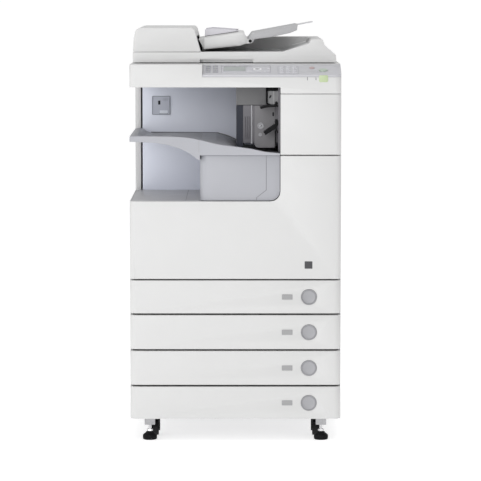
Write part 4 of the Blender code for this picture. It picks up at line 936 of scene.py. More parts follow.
@dataclass(frozen=True)
class Pattern:
    """How a part is repeated. Each kind has a node tree whose inputs bear its fields' names."""

    @staticmethod
    def tree() -> Tree:
        """The node tree of the pattern."""
        raise NotImplementedError

    def base(self) -> Mesh:
        """The mesh that the tree starts from."""
        return bpy.data.meshes.new("carrier")

    def values(self) -> dict[str, object]:
        """The tree's inputs for this pattern."""
        return {name.replace("_", " ").title(): value for name, value in vars(self).items()}


@dataclass(frozen=True)
class Rows(Pattern):
    """A part repeated in straight rows, as slats, ribs, keys and slots are.

    Attributes:
        start: Where the first part's origin is.
        step: From one part to the next.
        count: Parts in a row.
        row_step: From one row to the next.
        rows: Number of rows.
    """

    start: Point
    step: Point
    count: int
    row_step: Point = (0.0, 0.0, 0.0)
    rows: int = 1

    @staticmethod
    def tree() -> Tree:
        """The node tree of the rows.

        Returns:
            The tree.
        """
        tree = Tree("rows_of_parts")
        offset = {"mode": "OFFSET"}
        line = tree.add("MeshLine", offset, Count=tree.size("Count", "Int"),
            Start_Location=tree.size("Start", "Vector"), Offset=tree.size("Step", "Vector"))
        down = tree.add("MeshLine", offset, Count=tree.size("Rows", "Int"),
            Offset=tree.size("Row Step", "Vector"))
        rows = tree.add("InstanceOnPoints", Points=down, Instance=line)
        tree.close(tree.parts(tree.add("RealizeInstances", Geometry=rows)))
        return tree


@dataclass(frozen=True)
class Round(Pattern):
    """A part repeated round an axis, as teeth, spokes and treads are.

    Attributes:
        centre: The ring's middle.
        direction: The ring's axis.
        radius: From the axis to each part's origin.
        count: Number of parts.
    """

    centre: Point
    direction: Point
    radius: float
    count: int

    @staticmethod
    def tree() -> Tree:
        """The node tree of the ring.

        Returns:
            The tree.
        """
        tree = Tree("ring_of_parts")
        circle = tree.add("MeshCircle", Vertices=tree.size("Count", "Int"),
            Radius=tree.size("Radius"))
        facing = tree.add("FunctionNodeAlignRotationToVector", {"axis": "X", "pivot_axis": "Z"},
            Vector=tree.add("InputPosition"))
        tree.stand(tree.parts(circle, Rotation=facing), "Centre")
        return tree


@dataclass(frozen=True)
class Thread(Pattern):
    """A raised spiral round an axis, as on a screwed stem or a toner bottle.

    Attributes:
        base_point: Where the axis starts.
        direction: Where it points.
        radius: From the axis to the middle of the ridge.
        length: How far the spiral runs.
        turns: Number of turns.
        ridge: Radius of the ridge.
    """

    base_point: Point
    direction: Point
    radius: float
    length: float
    turns: float
    ridge: float

    @staticmethod
    def tree() -> Tree:
        """The node tree of the spiral.

        Returns:
            The tree.
        """
        tree = Tree("spiral_ridge")
        radius = tree.size("Radius")
        spiral = tree.add("CurveSpiral", Resolution=20, Rotations=tree.size("Turns"),
            Start_Radius=radius, End_Radius=radius, Height=tree.size("Length"))
        wire = tree.add("CurvePrimitiveCircle", {"mode": "RADIUS"}, Resolution=6,
            Radius=tree.size("Ridge"))
        tree.stand(tree.add("CurveToMesh", Curve=spiral, Profile_Curve=wire, Fill_Caps=True),
            "Base Point")
        return tree


@dataclass(frozen=True)
class Screws(Pattern):
    """Screw heads at given places, each turned by its own amount.

    Attributes:
        places: Where each head sits.
        facing: Where the heads point.
        seed: Seed of the turns.
    """

    places: tuple[Point, ...]
    facing: Point
    seed: int = 3

    @staticmethod
    def tree() -> Tree:
        """The node tree of the screws.

        Returns:
            The tree.
        """
        tree = Tree("screw_heads")
        spin = tree.group.nodes.new("FunctionNodeRandomValue")
        spin.data_type = "FLOAT"
        tree.group.links.new(tree.size("Seed", "Int"), spin.inputs["Seed"])
        spin.inputs[2].default_value = 0.0
        spin.inputs[3].default_value = math.pi
        turn = tree.add("FunctionNodeAxisAngleToRotation", Axis=(0, 0, 1), Angle=spin.outputs[1])
        whole = tree.add("FunctionNodeRotateRotation", {"rotation_space": "LOCAL"},
            Rotation=tree.lean("Facing"), Rotate_By=turn)
        tree.close(tree.parts(tree.start.outputs[0], Rotation=whole))
        return tree

    def base(self) -> Mesh:
        """A mesh with one point for each head.

        Returns:
            The mesh.
        """
        mesh = bpy.data.meshes.new("screw_places")
        mesh.from_pydata([tuple(p) for p in self.places], [], [])
        return mesh


@dataclass
class Assembly:
    """A group of pieces of the machine. Each kind of group has its own sizes and pieces."""

    trees: dict[type, Tree] = field(default_factory=dict, repr=False)
    made: list[str] = field(default_factory=list, repr=False)

    def build(self) -> None:
        """Makes every piece of the group."""
        raise NotImplementedError

    def settle(
        self, name: str, mesh: Mesh, finish: Finish, body: str, replaces: str = "",
        flat_from: float = FLAT_FROM,
    ) -> None:
        """Makes a mesh a finished piece that rides on a body.

        Args:
            name: The piece's name.
            mesh: Its mesh, in place.
            finish: What it is made of.
            body: The body that carries it.
            replaces: The frame node that it stands for, if any.
            flat_from: Area above which a face is shaded flat.
        """
        mesh.name = name
        mesh.shade_smooth()
        for face in mesh.polygons:
            face.use_smooth = face.area < flat_from
        mesh.set_sharp_from_angle(angle=SHADED_SHARP)
        mesh.materials.clear()
        mesh.materials.append(finish.material())
        piece = placed(name, mesh)
        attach(piece, body)
        if replaces:
            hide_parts(replaces)
        self.made.append(name)
        log.info("%s on %s: %d faces", name, body, len(mesh.polygons))

    def piece(
        self, name: str, shape: Shape, finish: Finish, body: str = "cabinet", replaces: str = ""
    ) -> None:
        """Makes a shape, which is used up, a finished piece. The rest is as in settle()."""
        self.settle(name, as_mesh(shape, name), finish, body, replaces)

    def moulded(
        self, node: str, finish: Finish, width: float = 0.0009, body: str = "",
        cutter: Mesh | None = None,
    ) -> None:
        """Makes a frame node's shape with its edges softened the piece that stands for it.

        Args:
            node: The node.
            finish: What it is made of.
            width: Width of the softened edges.
            body: The body that carries it, or "" for the cabinet.
            cutter: What is cut out of it, or none.
        """
        mesh = as_mesh(softened(cad_copy(node), width, node), node)
        if cutter:
            mesh = carved(mesh, cutter)
        flat_from = FLAT_FROM_CARVED if cutter else FLAT_FROM
        self.settle(f"{node}_shell", mesh, finish, body or "cabinet", node, flat_from)

    def repeated(self, pattern: Pattern, part: Shape | None, finish: Finish) -> Mesh:
        """Repeats a part in a pattern.

        Args:
            pattern: Where the parts go.
            part: The part, made round the origin, or none for a spiral.
            finish: What the parts are made of.

        Returns:
            The plain mesh of all of them.
        """
        kind = type(pattern)
        tree = self.trees.get(kind) or self.trees.setdefault(kind, kind.tree())
        values = {**pattern.values(), "Material": finish.material()}
        if not part:
            return tree.grow(values, pattern.base())
        holder = placed("repeated_part", as_mesh(part, "repeated_part"))
        grown = tree.grow({**values, "Part": holder}, pattern.base())
        bpy.data.objects.remove(holder)
        return grown

    def row(
        self, name: str, pattern: Pattern, part: Shape | None, finish: Finish,
        body: str = "cabinet",
    ) -> None:
        """Makes a repeated part a finished piece.

        Args:
            name: The piece's name.
            pattern: Where the parts go.
            part: The part, made round the origin, or none for a spiral.
            finish: What they are made of.
            body: The body that carries them.
        """
        self.settle(name, self.repeated(pattern, part, finish), finish, body)

    def screws(
        self, name: str, places: Sequence[Point], facing: Point, radius: float = 0.0034
    ) -> None:
        """Makes bright cross-slotted screw heads on the cabinet.

        Args:
            name: The piece's name.
            places: Where the heads sit, on the surface.
            facing: Where they point.
            radius: Radius of each head.
        """
        self.row(name, Screws(tuple(places), facing), screw_head(radius), BRIGHT)


def screw_head(radius: float) -> Shape:
    """A pan head with a cross slot, its seat at the origin and facing up.

    Args:
        radius: Radius of the head.

    Returns:
        The solid.
    """
    high, slot, arm = 0.36 * radius, 0.16 * radius, 0.62 * radius
    cross = [(arm, slot), (slot, slot), (slot, arm), (-slot, arm), (-slot, slot), (-arm, slot),
        (-arm, -slot), (-slot, -slot), (-slot, -arm), (slot, -arm), (slot, -slot), (arm, -slot)]
    loops = [[(*(Vector(spot).normalized() * reach), level) for spot in cross]
        for level, reach in ((-0.3 * high, radius), (0.45 * high, radius), (high, 0.8 * radius))]
    loops += [[(*spot, level) for spot in cross] for level in (high, 0.35 * high)]
    return skinned(loops)


def carved(mesh: Mesh, cutter: Mesh) -> Mesh:
    """Cuts one mesh out of another.

    Args:
        mesh: The mesh that is cut.
        cutter: What is taken out of it.

    Returns:
        The cut mesh.
    """
    held, tool = placed("carved", mesh), placed("carving_tool", cutter)
    modifier = held.modifiers.new("carve", "BOOLEAN")
    modifier.operation, modifier.solver, modifier.object = "DIFFERENCE", "EXACT", tool
    modifier.use_self = True
    result = final_mesh(held)
    bpy.data.objects.remove(tool)
    return result


def centre(node: str) -> Vector:
    """The middle of a frame node's box."""
    low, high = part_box(node)
    return (low + high) / 2


# Studio -----------------------------------------------------------------------------------


@dataclass
class Studio:
    """Pale floor, soft lights and the camera.

    Attributes:
        eye: Where the camera stands.
        target: What it looks at.
        view_width: Width of the view at the target's distance.
        floor_size: Half the floor's width.
    """

    eye: Point = (0.0137, -7.839, 1.2188)
    target: Point = (0.0137, -0.339, 0.5426)
    view_width: float = 1.2846
    floor_size: float = 900.0

    def build(self) -> None:
        """Makes the floor, the lights and the camera."""
        self.floor()
        self.lights()
        self.camera()
        bpy.context.scene.view_settings.view_transform = "Standard"

    def floor(self) -> None:
        """A pale floor that reaches past the view."""
        shape = bmesh.new()
        bmesh.ops.create_grid(shape, x_segments=8, y_segments=8, size=self.floor_size)
        mesh = as_mesh(shape, "studio_floor")
        mesh.materials.append(PAPER.material())
        placed("studio_floor", mesh)

    def lights(self) -> None:
        """A bright even sky and four large soft lights round the machine."""
        world = bpy.data.worlds.new("studio")
        world.use_nodes = True
        sky = world.node_tree.nodes["Background"]
        sky.inputs["Color"].default_value = (1.0, 1.0, 1.0, 1)
        sky.inputs["Strength"].default_value = 0.60
        bpy.context.scene.world = world
        for name, place, size, power in (
            ("front_left", (-1.6, -6.4, 2.0), 3.4, 128.0),
            ("left", (-4.4, -2.0, 2.2), 2.6, 45.0),
            ("above", (0.3, -0.4, 4.2), 2.4, 32.0),
            ("back_right", (2.8, 3.4, 3.0), 2.4, 30.0),
        ):
            data = bpy.data.lights.new(name, "AREA")
            data.shape, data.size, data.energy = "SQUARE", size, power
            self.aimed(placed(name, data), place, (0, 0, 0.6))

    def camera(self) -> None:
        """The camera, with a long lens as for a catalogue."""
        data = bpy.data.cameras.new("camera")
        data.clip_end = 2000.0
        camera = placed("camera", data)
        reach = self.aimed(camera, self.eye, self.target)
        data.lens = data.sensor_width * reach / self.view_width
        bpy.context.scene.camera = camera

    @staticmethod
    def aimed(item: bpy.types.Object, place: Point, target: Point) -> float:
        """Puts a light or a camera at a place and aims it.

        Args:
            item: The light or the camera.
            place: Where it stands.
            target: What it looks at.

        Returns:
            How far the target is.
        """
        aim = Vector(target) - Vector(place)
        item.location = place
        item.rotation_euler = aim.to_track_quat("-Z", "Y").to_euler()
        return aim.length


# Stand ------------------------------------------------------------------------------------


@dataclass
class Stand(Assembly):
    """Bottom pan, levelling feet, casters and brake pedals.

    Attributes:
        stem_radius: Radius of a foot's threaded stem.
        thread_pitch: From one turn of the thread to the next.
        nut_radius: Corner radius of a foot's lock nut.
        tread: Height of a wheel's tread ribs.
    """

    stem_radius: float = 0.0036
    thread_pitch: float = 0.00175
    nut_radius: float = 0.0080
    tread: float = 0.0004

    def build(self) -> None:
        """Makes the stand's pieces."""
        self.moulded("base_pan", STEEL, 0.0006)
        for side in ("left", "right"):
            self.foot(side)
            for end in ("front", "back"):
                self.caster(f"{end}_{side}")
            self.pedal(side)

    def foot(self, side: str) -> None:
        """A round black pad and hub on a bright threaded stem with a lock nut.

        Args:
            side: Which foot, left or right.
        """
        node = f"levelling_foot_{side}"
        low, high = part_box(node)
        x, y, pad = (low.x + high.x) / 2, (low.y + high.y) / 2, (high.x - low.x) / 2
        profile = [(0, 0), (pad - 0.0026, 0), (pad - 0.0008, 0.0008), (pad, 0.0030), (pad, 0.0100),
            (pad - 0.0010, 0.0135), (pad - 0.0042, 0.0165), (pad - 0.0068, 0.0178),
            (0.0108, 0.0190), (0.0100, 0.0212), (0, 0.0214)]
        self.piece(f"foot_pad_{side}", turned(profile, (x, y, 0), (0, 0, 1)), BLACK, node, node)
        rib = block((-0.0014, -0.0011, 0.0040), (-0.0001, 0.0011, 0.0120), 0.0003)
        grips = Round((x, y, 0), (0, 0, 1), pad + 0.0004, 22)
        self.row(f"foot_grips_{side}", grips, rib, BLACK, node)
        stem = [(0, 0.0210), (self.stem_radius, 0.0210), (self.stem_radius, high.z - 0.0006),
            (self.stem_radius - 0.0006, high.z), (0, high.z)]
        self.piece(f"foot_stem_{side}", turned(stem, (x, y, 0), (0, 0, 1), 24), BRIGHT, node)
        length = high.z - 0.0235
        thread = Thread((x, y, 0.0225), (0, 0, 1), self.stem_radius, length,
            length / self.thread_pitch, 0.00035)
        self.row(f"foot_thread_{side}", thread, None, BRIGHT, node)
        nut = turned([(0, 0.0225), (self.nut_radius * 0.93, 0.0225), (self.nut_radius, 0.0232),
            (self.nut_radius, 0.0276), (self.nut_radius * 0.93, 0.0284), (0, 0.0284)], (x, y, 0),
            (0, 0, 1), 6)
        self.piece(f"foot_nut_{side}", nut, BRIGHT, node)

    def caster(self, place: str) -> None:
        """A black fork with a grooved wheel and a bright axle.

        Args:
            place: Which caster, such as front_left.
        """
        fork, wheel = f"caster_fork_{place}", f"caster_wheel_{place}"
        self.moulded(fork, BLACK, 0.0007, fork)
        low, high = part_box(wheel)
        width, radius = high.x - low.x, (high.z - low.z) / 2
        middle = (low.x, (low.y + high.y) / 2, (low.z + high.z) / 2)
        tyre = [(radius - 0.0050, 0.0012), (radius - 0.0010, 0.0002), (radius - 0.0002, 0.0014),
            (radius, 0.0042), (radius - self.tread, 0.0046), (radius - self.tread, 0.0056),
            (radius, 0.0060), (radius, width - 0.0060), (radius - self.tread, width - 0.0056),
            (radius - self.tread, width - 0.0046), (radius, width - 0.0042),
            (radius - 0.0002, width - 0.0014), (radius - 0.0010, width - 0.0002),
            (radius - 0.0050, width - 0.0012)]
        self.piece(f"tyre_{place}", ring(tyre, middle, (1, 0, 0), 56), TYRE, wheel, wheel)
        hub = [(0.0041, 0.0004), (0.0068, 0.0004), (0.0074, 0.0022), (0.0128, 0.0026),
            (0.0136, 0.0012), (radius - 0.0044, 0.0010), (radius - 0.0044, width - 0.0010),
            (0.0136, width - 0.0012), (0.0128, width - 0.0026), (0.0074, width - 0.0022),
            (0.0068, width - 0.0004), (0.0041, width - 0.0004)]
        self.piece(f"wheel_hub_{place}", ring(hub, middle, (1, 0, 0), 40), MID_GREY, wheel)
        spoke = block((-0.0030, -0.0008, 0.0016), (0.0030, 0.0008, 0.0027), 0.0002)
        spokes = Round(middle, (1, 0, 0), 0.0105, 7)
        self.row(f"wheel_spokes_{place}", spokes, spoke, MID_GREY, wheel)
        fork_low, fork_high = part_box(fork)
        for side, x, way in (("in", fork_low.x, -1), ("out", fork_high.x, 1)):
            head = turned([(0, -0.0004), (0.0042, -0.0004), (0.0042, 0.0006), (0.0030, 0.0013),
                (0, 0.0015)], (x - way * 0.0010, middle[1], middle[2]), (way, 0, 0), 24)
            self.piece(f"axle_head_{side}_{place}", head, BRIGHT, fork)
        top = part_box("base_pan")[0].z + 0.018
        plate_x, plate_y = (fork_low.x + fork_high.x) / 2, fork_low.y + 0.012
        race = ring([(0.0088, -0.0030), (0.0150, -0.0030), (0.0172, -0.0012), (0.0172, 0),
            (0.0088, 0)], (plate_x, plate_y, top), (0, 0, 1), 40)
        self.piece(f"swivel_race_{place}", race, STEEL)

    def pedal(self, side: str) -> None:
        """A black brake pedal with grip ribs across its tread.

        Args:
            side: Which pedal, left or right.
        """
        node = f"brake_pedal_{side}"
        self.moulded(node, BLACK, 0.0009, node)
        low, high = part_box(node)
        slope = math.atan2(0.0070, high.y - low.y)
        rib = tilted(block((0.0025, -0.0007, -0.0004), (high.x - low.x - 0.0025, 0.0007, 0.0005),
            0.0002), slope, X)
        rows = Rows((low.x, low.y + 0.0035, low.z + 0.0044), (0, 0.0032, 0.00222), 4)
        self.row(f"pedal_grips_{side}", rows, rib, BLACK, node)


# Drawers ----------------------------------------------------------------------------------


@dataclass
class PaperDrawer(Assembly):
    """One paper drawer: front panel, bin, lift plate, paper guides, release button and plate.

    Attributes:
        number: Which drawer, 1 being the highest.
        plate: Left, right and half height of the bare label plate.
        lift_plate: Gap round the lift plate and its height over the bin's floor.
    """

    number: int = 1
    plate: tuple[float, float, float] = (0.1245, 0.1530, 0.0068)
    lift_plate: tuple[float, float] = (0.012, 0.010)

    def build(self) -> None:
        """Makes the drawer's pieces."""
        self.node = f"drawer_{self.number}"
        self.low, self.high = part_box(self.node)
        self.panel_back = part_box("front_cover")[1].y
        self.shells()
        self.button()
        self.label()
        self.inside()

    def shells(self) -> None:
        """The white front panel and the grey bin behind it, from the drawer's own shape."""
        here = (0.0, self.panel_back, 0.0)
        front = softened(cut_at(cad_copy(self.node), here, (0, 1, 0)), 0.0012, self.node)
        self.piece(f"{self.node}_front", front, WHITE, self.node, self.node)
        bin_shape = softened(cut_at(cad_copy(self.node), here, (0, -1, 0)), 0.0006, self.node)
        self.piece(f"{self.node}_bin", bin_shape, INNER_WHITE, self.node)

    def button(self) -> None:
        """The round release button: a dished face inside a fine groove and a raised rim."""
        node = f"drawer_button_{self.number}"
        low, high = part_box(node)
        radius, depth = (high.x - low.x) / 2, high.y - low.y
        profile = [(0, 0.0019), (0.006, 0.0018), (0.012, 0.0014), (0.0158, 0.0008),
            (0.0168, 0.0004), (0.0173, 0.0008), (0.0176, 0.0016), (0.0184, 0.0016),
            (0.0187, 0.0004), (radius - 0.0010, 0.0), (radius - 0.0003, 0.0004),
            (radius - 0.0001, 0.0012), (radius - 0.0001, depth), (0, depth)]
        base = ((low.x + high.x) / 2, low.y, (low.z + high.z) / 2)
        self.piece(f"release_button_{self.number}", turned(profile, base, (0, 1, 0), 64), BUTTON,
            node, node)
        hollow = ring(oblong(0.0175, 0.00155, 0.0185, 0.0022), base, (0, 1, 0), 64)
        self.piece(f"button_groove_{self.number}", hollow, BUTTON_RIM, node)

    def label(self) -> None:
        """The bare label plate beside the button, in its fine frame."""
        left, right, half = self.plate
        z = centre(f"drawer_button_{self.number}").z
        corners = oblong(left, z - half, right, z + half, 0.001)
        front = self.low.y
        self.piece(f"label_plate_{self.number}", prism(corners, Y, front - PROUD, front + SINK),
            PLATE_GREY, self.node)
        self.piece(f"label_frame_{self.number}",
            frame_strip(corners, 0.0007, Y, front - 1.6 * PROUD, front + SINK), FAINT_SEAM,
            self.node)

    def inside(self) -> None:
        """The paper lift plate, the two ribbed fences, their green tab and a cork pad."""
        gap, rise = self.lift_plate
        x, floor = 0.2475 - gap, self.low.z + 0.0155 + rise
        front, back = self.panel_back + 0.004 + gap, self.high.y - 0.004 - gap
        outline = [(-x, front, 0.006), (-0.055, front, 0.003), (-0.055, front + 0.030, 0.010),
            (0.055, front + 0.030, 0.010), (0.055, front, 0.003), (x, front, 0.006),
            (x, back, 0.006), (-x, back, 0.006)]
        self.piece(f"lift_plate_{self.number}", prism(outline, Z, floor, floor + 0.0012), STEEL,
            self.node)
        for side, y in (("front", front + 0.006), ("back", back - 0.006)):
            fence = block((-0.150, y - 0.0012, floor + 0.0016), (0.150, y + 0.0012, floor + 0.050))
            self.piece(f"paper_fence_{side}_{self.number}", fence, MID_GREY, self.node)
            rows = Rows((-0.126, y + math.copysign(0.0075, y + 0.03), floor + 0.0016),
                (0.042, 0, 0), 7)
            rib = block((-0.0009, -0.0070, 0), (0.0009, 0.0070, 0.040), 0.0004)
            self.row(f"fence_ribs_{side}_{self.number}", rows, rib, MID_GREY, self.node)
        grip = block((-0.014, -0.004, 0), (0.014, 0.004, 0.010), 0.002)
        rows = Rows((0, front + 0.012, floor + 0.0012), (0, 0.010, 0), 1)
        self.row(f"fence_tab_{self.number}", rows, grip, GREEN_TAB, self.node)
        pad = prism(oblong(0.150, -0.060, 0.205, 0.000, 0.006), Z, floor + 0.0012, floor + 0.0020)
        self.piece(f"cork_pad_{self.number}", pad, ROLLER, self.node)


@dataclass
class Drawers(Assembly):
    """The four drawers and the frames beside them.

    Attributes:
        count: Number of drawers.
    """

    count: int = 4

    def build(self) -> None:
        """Makes the drawers' pieces."""
        for number in range(1, self.count + 1):
            drawer = PaperDrawer(trees=self.trees, number=number)
            drawer.build()
            self.made += drawer.made
        for side in ("left", "right"):
            self.moulded(f"{side}_side_frame", STEEL, 0.0005)


# Body covers ------------------------------------------------------------------------------


@dataclass
class Covers(Assembly):
    """White outer covers with their vents, screws, latches, tray and electrical fittings.

    Attributes:
        slot: Length, height and depth of a vent slot.
        pitch: From one slot to the next.
        sticker: Middle and half sizes of the bare dark sticker, in x and z.
    """

    slot: Point = (0.058, 0.0032, 0.0022)
    pitch: float = 0.0078
    sticker: tuple[float, float, float, float] = (0.1955, 0.4768, 0.0104, 0.0099)

    def build(self) -> None:
        """Makes the covers' pieces."""
        self.front()
        self.left()
        self.right()
        self.rear()
        self.electrics()

    def front(self) -> None:
        """The two front covers, the bare sticker, and the ribs and latches inside them."""
        self.moulded("front_cover", WHITE, 0.0012, "front_cover")
        self.moulded("toner_cover", WHITE, 0.0012, "toner_cover")
        low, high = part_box("front_cover")
        x, z, half_x, half_z = self.sticker
        corners = oblong(x - half_x, z - half_z, x + half_x, z + half_z, 0.0012)
        self.piece("front_sticker", prism(corners, Y, low.y - PROUD, low.y + SINK), PLATE_DARK,
            "front_cover")
        upright = block((-0.0008, -SINK, 0), (0.0008, 0.0022, 0.170), 0.0003)
        self.row("front_cover_ribs",
            Rows((low.x + 0.040, high.y, low.z + 0.016), (0.0440, 0, 0), 12), upright, SIDE_WHITE,
            "front_cover")
        across = block((0, -SINK, -0.0008), (0.505, 0.0018, 0.0008), 0.0003)
        self.row("front_cover_cross_ribs",
            Rows((low.x + 0.030, high.y, low.z + 0.030), (0, 0, 0.0450), 4), across, SIDE_WHITE,
            "front_cover")
        low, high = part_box("toner_cover")
        upright = block((-0.0008, -SINK, 0), (0.0008, 0.0016, 0.130), 0.0003)
        self.row("toner_cover_ribs",
            Rows((low.x + 0.018, high.y, low.z + 0.014), (0.0250, 0, 0), 6), upright, SIDE_WHITE,
            "toner_cover")
        catch = prism(oblong(-0.009, -0.006, 0.009, 0.006, 0.002), Y, -SINK, 0.0030)
        self.row("cover_catches",
            Rows((-0.225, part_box("front_cover")[1].y, 0.630), (0.190, 0, 0), 1), catch, MID_GREY,
            "front_cover")

    def vented(
        self, node: str, start: Point, side: bool, rows: int, columns: int,
        screws: Sequence[Point], pockets: Sequence[Shape] = (),
    ) -> None:
        """A cover with sunk vent slots, painted shadow at their bottoms, and screws in shallow
        bores.

        Args:
            node: The cover's node.
            start: Middle of the first slot, on the surface.
            side: Whether the cover is a side cover.
            rows: Slots one above another.
            columns: Slots beside each other.
            screws: Where the screws are, on the surface.
            pockets: What else is cut out of the cover.
        """
        length, height, depth = self.slot
        along = (0, length + 0.014, 0) if side else (length + 0.014, 0, 0)
        pattern = Rows(start, (0, 0, self.pitch), rows, along, columns)
        half, tall, axis = length / 2, height / 2, X if side else Y
        part = prism(oblong(-half, -tall, half, tall, tall * 0.98), axis, -depth, depth, 4)
        facing = (math.copysign(1, start[0]), 0, 0) if side else (0, 1, 0)
        bore = turned([(0, -0.0016), (0.0043, -0.0016), (0.0047, 0.0010), (0, 0.0010)], (0, 0, 0),
            (0, 0, 1), 32)
        tools = bmesh.new()
        tools.from_mesh(self.repeated(pattern, part, HOLLOW_SHADOW))
        tools.from_mesh(self.repeated(Screws(tuple(screws), facing), bore, HOLLOW_SHADOW))
        cutter = as_mesh(merged(tools, *pockets), "vents_and_bores")
        seats = [tuple(Vector(p) - Vector(facing) * 0.0016) for p in screws]
        self.screws(f"{node}_screws", seats, facing)
        finish = SIDE_WHITE if side else WHITE
        self.moulded(node, finish, 0.0008, cutter=cutter)
        # Painted shadow: a thin near-black sheet at each slot's bottom stands in for the dark
        # inside behind the vents.
        outwards = math.copysign(1, start[0] if side else start[1])
        half, tall = length / 2 - 0.0002, height / 2 - 0.0001
        near, far = sorted((-outwards * depth, -outwards * (depth - 0.0004)))
        insert = prism(oblong(-half, -tall, half, tall, tall * 0.9), axis, near, far, 4)
        self.row(f"{node}_vent_mesh", pattern, insert, HOLLOW_SHADOW)

    def left(self) -> None:
        """The left cover with vents low at the back, a grip for carrying, and screws."""
        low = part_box("left_cover")[0]
        self.vented("left_cover", (low.x, 0.190, 0.160), True, 9, 2,
            [(low.x, y, z) for y in (-0.290, 0.318) for z in (0.085, 0.425)])
        self.grip("left", low.x, 0.02)

    def grip(self, side: str, x: float, y: float) -> None:
        """A dark carrying grip flush with a side cover.

        Args:
            side: Which side.
            x: The cover's outer face.
            y: The grip's middle.
        """
        way = -1 if side == "left" else 1
        near, far = sorted((x - way * 0.0006, x))
        corners = oblong(y - 0.052, 0.300, y + 0.052, 0.332, 0.008)
        shape = frame_strip(corners, 0.0022, X, near, far)
        self.piece(f"carry_grip_rim_{side}", shape, FAINT_SEAM)

    def right(self) -> None:
        """The right cover, the side door with its latch, and the bypass tray folded into it."""
        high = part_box("right_cover")[1]
        self.vented("right_cover", (high.x, 0.190, 0.100), True, 12, 2,
            [(high.x, y, z) for y in (-0.290, 0.318) for z in (0.085, 0.425)])
        self.grip("right", high.x, -0.20)
        self.moulded("jam_door", SIDE_WHITE, 0.0010, "jam_door")
        self.moulded("bypass_tray", SIDE_WHITE, 0.0009, "bypass_tray")
        door_low, door_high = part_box("jam_door")
        y, top = door_low.y + 0.020, door_high.z
        latch = oblong(y - 0.011, top - 0.130, y + 0.011, top - 0.050, 0.006)
        self.piece("door_latch_rim",
            frame_strip(latch, 0.0020, X, door_high.x - 0.0010, door_high.x), FAINT_SEAM,
            "jam_door")
        lever = block((door_high.x - 0.0010, y - 0.0085, top - 0.127),
            (door_high.x - 0.0001, y + 0.0085, top - 0.053), 0.0004)
        self.piece("door_latch_lever", lever, MID_GREY, "jam_door")
        rib = block((-0.0020, -0.0008, 0), (SINK, 0.0008, 0.420), 0.0003)
        self.row("door_inner_ribs",
            Rows((door_low.x, door_low.y + 0.030, door_low.z + 0.025), (0, 0.0425, 0), 9), rib,
            SIDE_WHITE, "jam_door")
        guide = block((-0.0024, 0, -0.003), (SINK, 0.330, 0.003), 0.0010)
        self.row("door_roller_guides",
            Rows((door_low.x, door_low.y + 0.034, door_low.z + 0.120), (0, 0, 0.150), 2), guide,
            BLACK, "jam_door")
        self.tray()

    def tray(self) -> None:
        """The bypass tray's finger notch and the two lines down its face."""
        low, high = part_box("bypass_tray")
        middle = (low.y + high.y) / 2
        notch = oblong(middle - 0.040, high.z - 0.024, middle + 0.040, high.z - 0.006, 0.007)
        self.piece("bypass_finger_rim", frame_strip(notch, 0.0016, X, high.x - 0.0008, high.x),
            FAINT_SEAM, "bypass_tray")
        self.piece("bypass_finger_well",
            prism([(c[0] + math.copysign(0.0014, middle - c[0]),
            c[1] + math.copysign(0.0014, high.z - 0.015 - c[1]), 0.0056) for c in notch], X,
            high.x - 0.0006, high.x - 0.0001), MID_GREY, "bypass_tray")
        rib = block((-0.0002, -0.0006, -0.105), (0.0002, 0.0006, 0.105), 0.0001)
        self.row("bypass_face_lines",
            Rows((high.x - 0.0002, low.y + 0.028, (low.z + high.z) / 2 - 0.012),
            (0, high.y - low.y - 0.056, 0), 2), rib, FAINT_SEAM, "bypass_tray")

    def rear(self) -> None:
        """The rear cover with vents, a fan grille, screws and a bare connector plate."""
        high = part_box("rear_cover")[1]
        spot = (-0.130, high.y - 0.0022, 0.780)
        plate = oblong(-0.250, 0.170, -0.150, 0.235, 0.003)
        pockets = (turned([(0, 0), (0.0535, 0), (0.0540, 0.0040), (0, 0.0040)], spot, (0, 1, 0),
            64), prism(plate, Y, high.y - 0.0012, high.y + 0.0010))
        self.vented("rear_cover", (0.080, high.y, 0.300), False, 14, 3,
            [(x, high.y, z) for x in (-0.262, 0.0, 0.262) for z in (0.085, 0.430, 0.700, 0.925)],
            pockets)
        rings = [ring(oblong(r, 0, r + 0.0022, 0.0021), spot, (0, 1, 0))
            for r in (0.010, 0.020, 0.030, 0.040, 0.0500)]
        self.piece("fan_grille_shadow",
            ring(oblong(0.002, 0.0014, 0.0515, 0.0018), spot, (0, 1, 0)), HOLLOW_SHADOW)
        self.piece("fan_grille_rings", merged(*rings), SIDE_WHITE)
        spoke = block((-0.0205, -0.0011, 0.0004), (0.0205, 0.0011, 0.0020), 0.0003)
        self.row("fan_grille_spokes", Round(spot, (0, 1, 0), 0.0310, 8), spoke, SIDE_WHITE)
        face = oblong(-0.2496, 0.1704, -0.1504, 0.2346, 0.0026)
        self.piece("connector_plate", prism(face, Y, high.y - 0.0016, high.y - 0.0009), MID_GREY)
        port = prism(oblong(-0.0080, -0.0065, 0.0080, 0.0065, 0.001), Y, -0.0010, -0.0004)
        self.row("connector_ports", Rows((-0.232, high.y - 0.0001, 0.202), (0.0320, 0, 0), 3), port,
            HOLLOW_SHADOW)

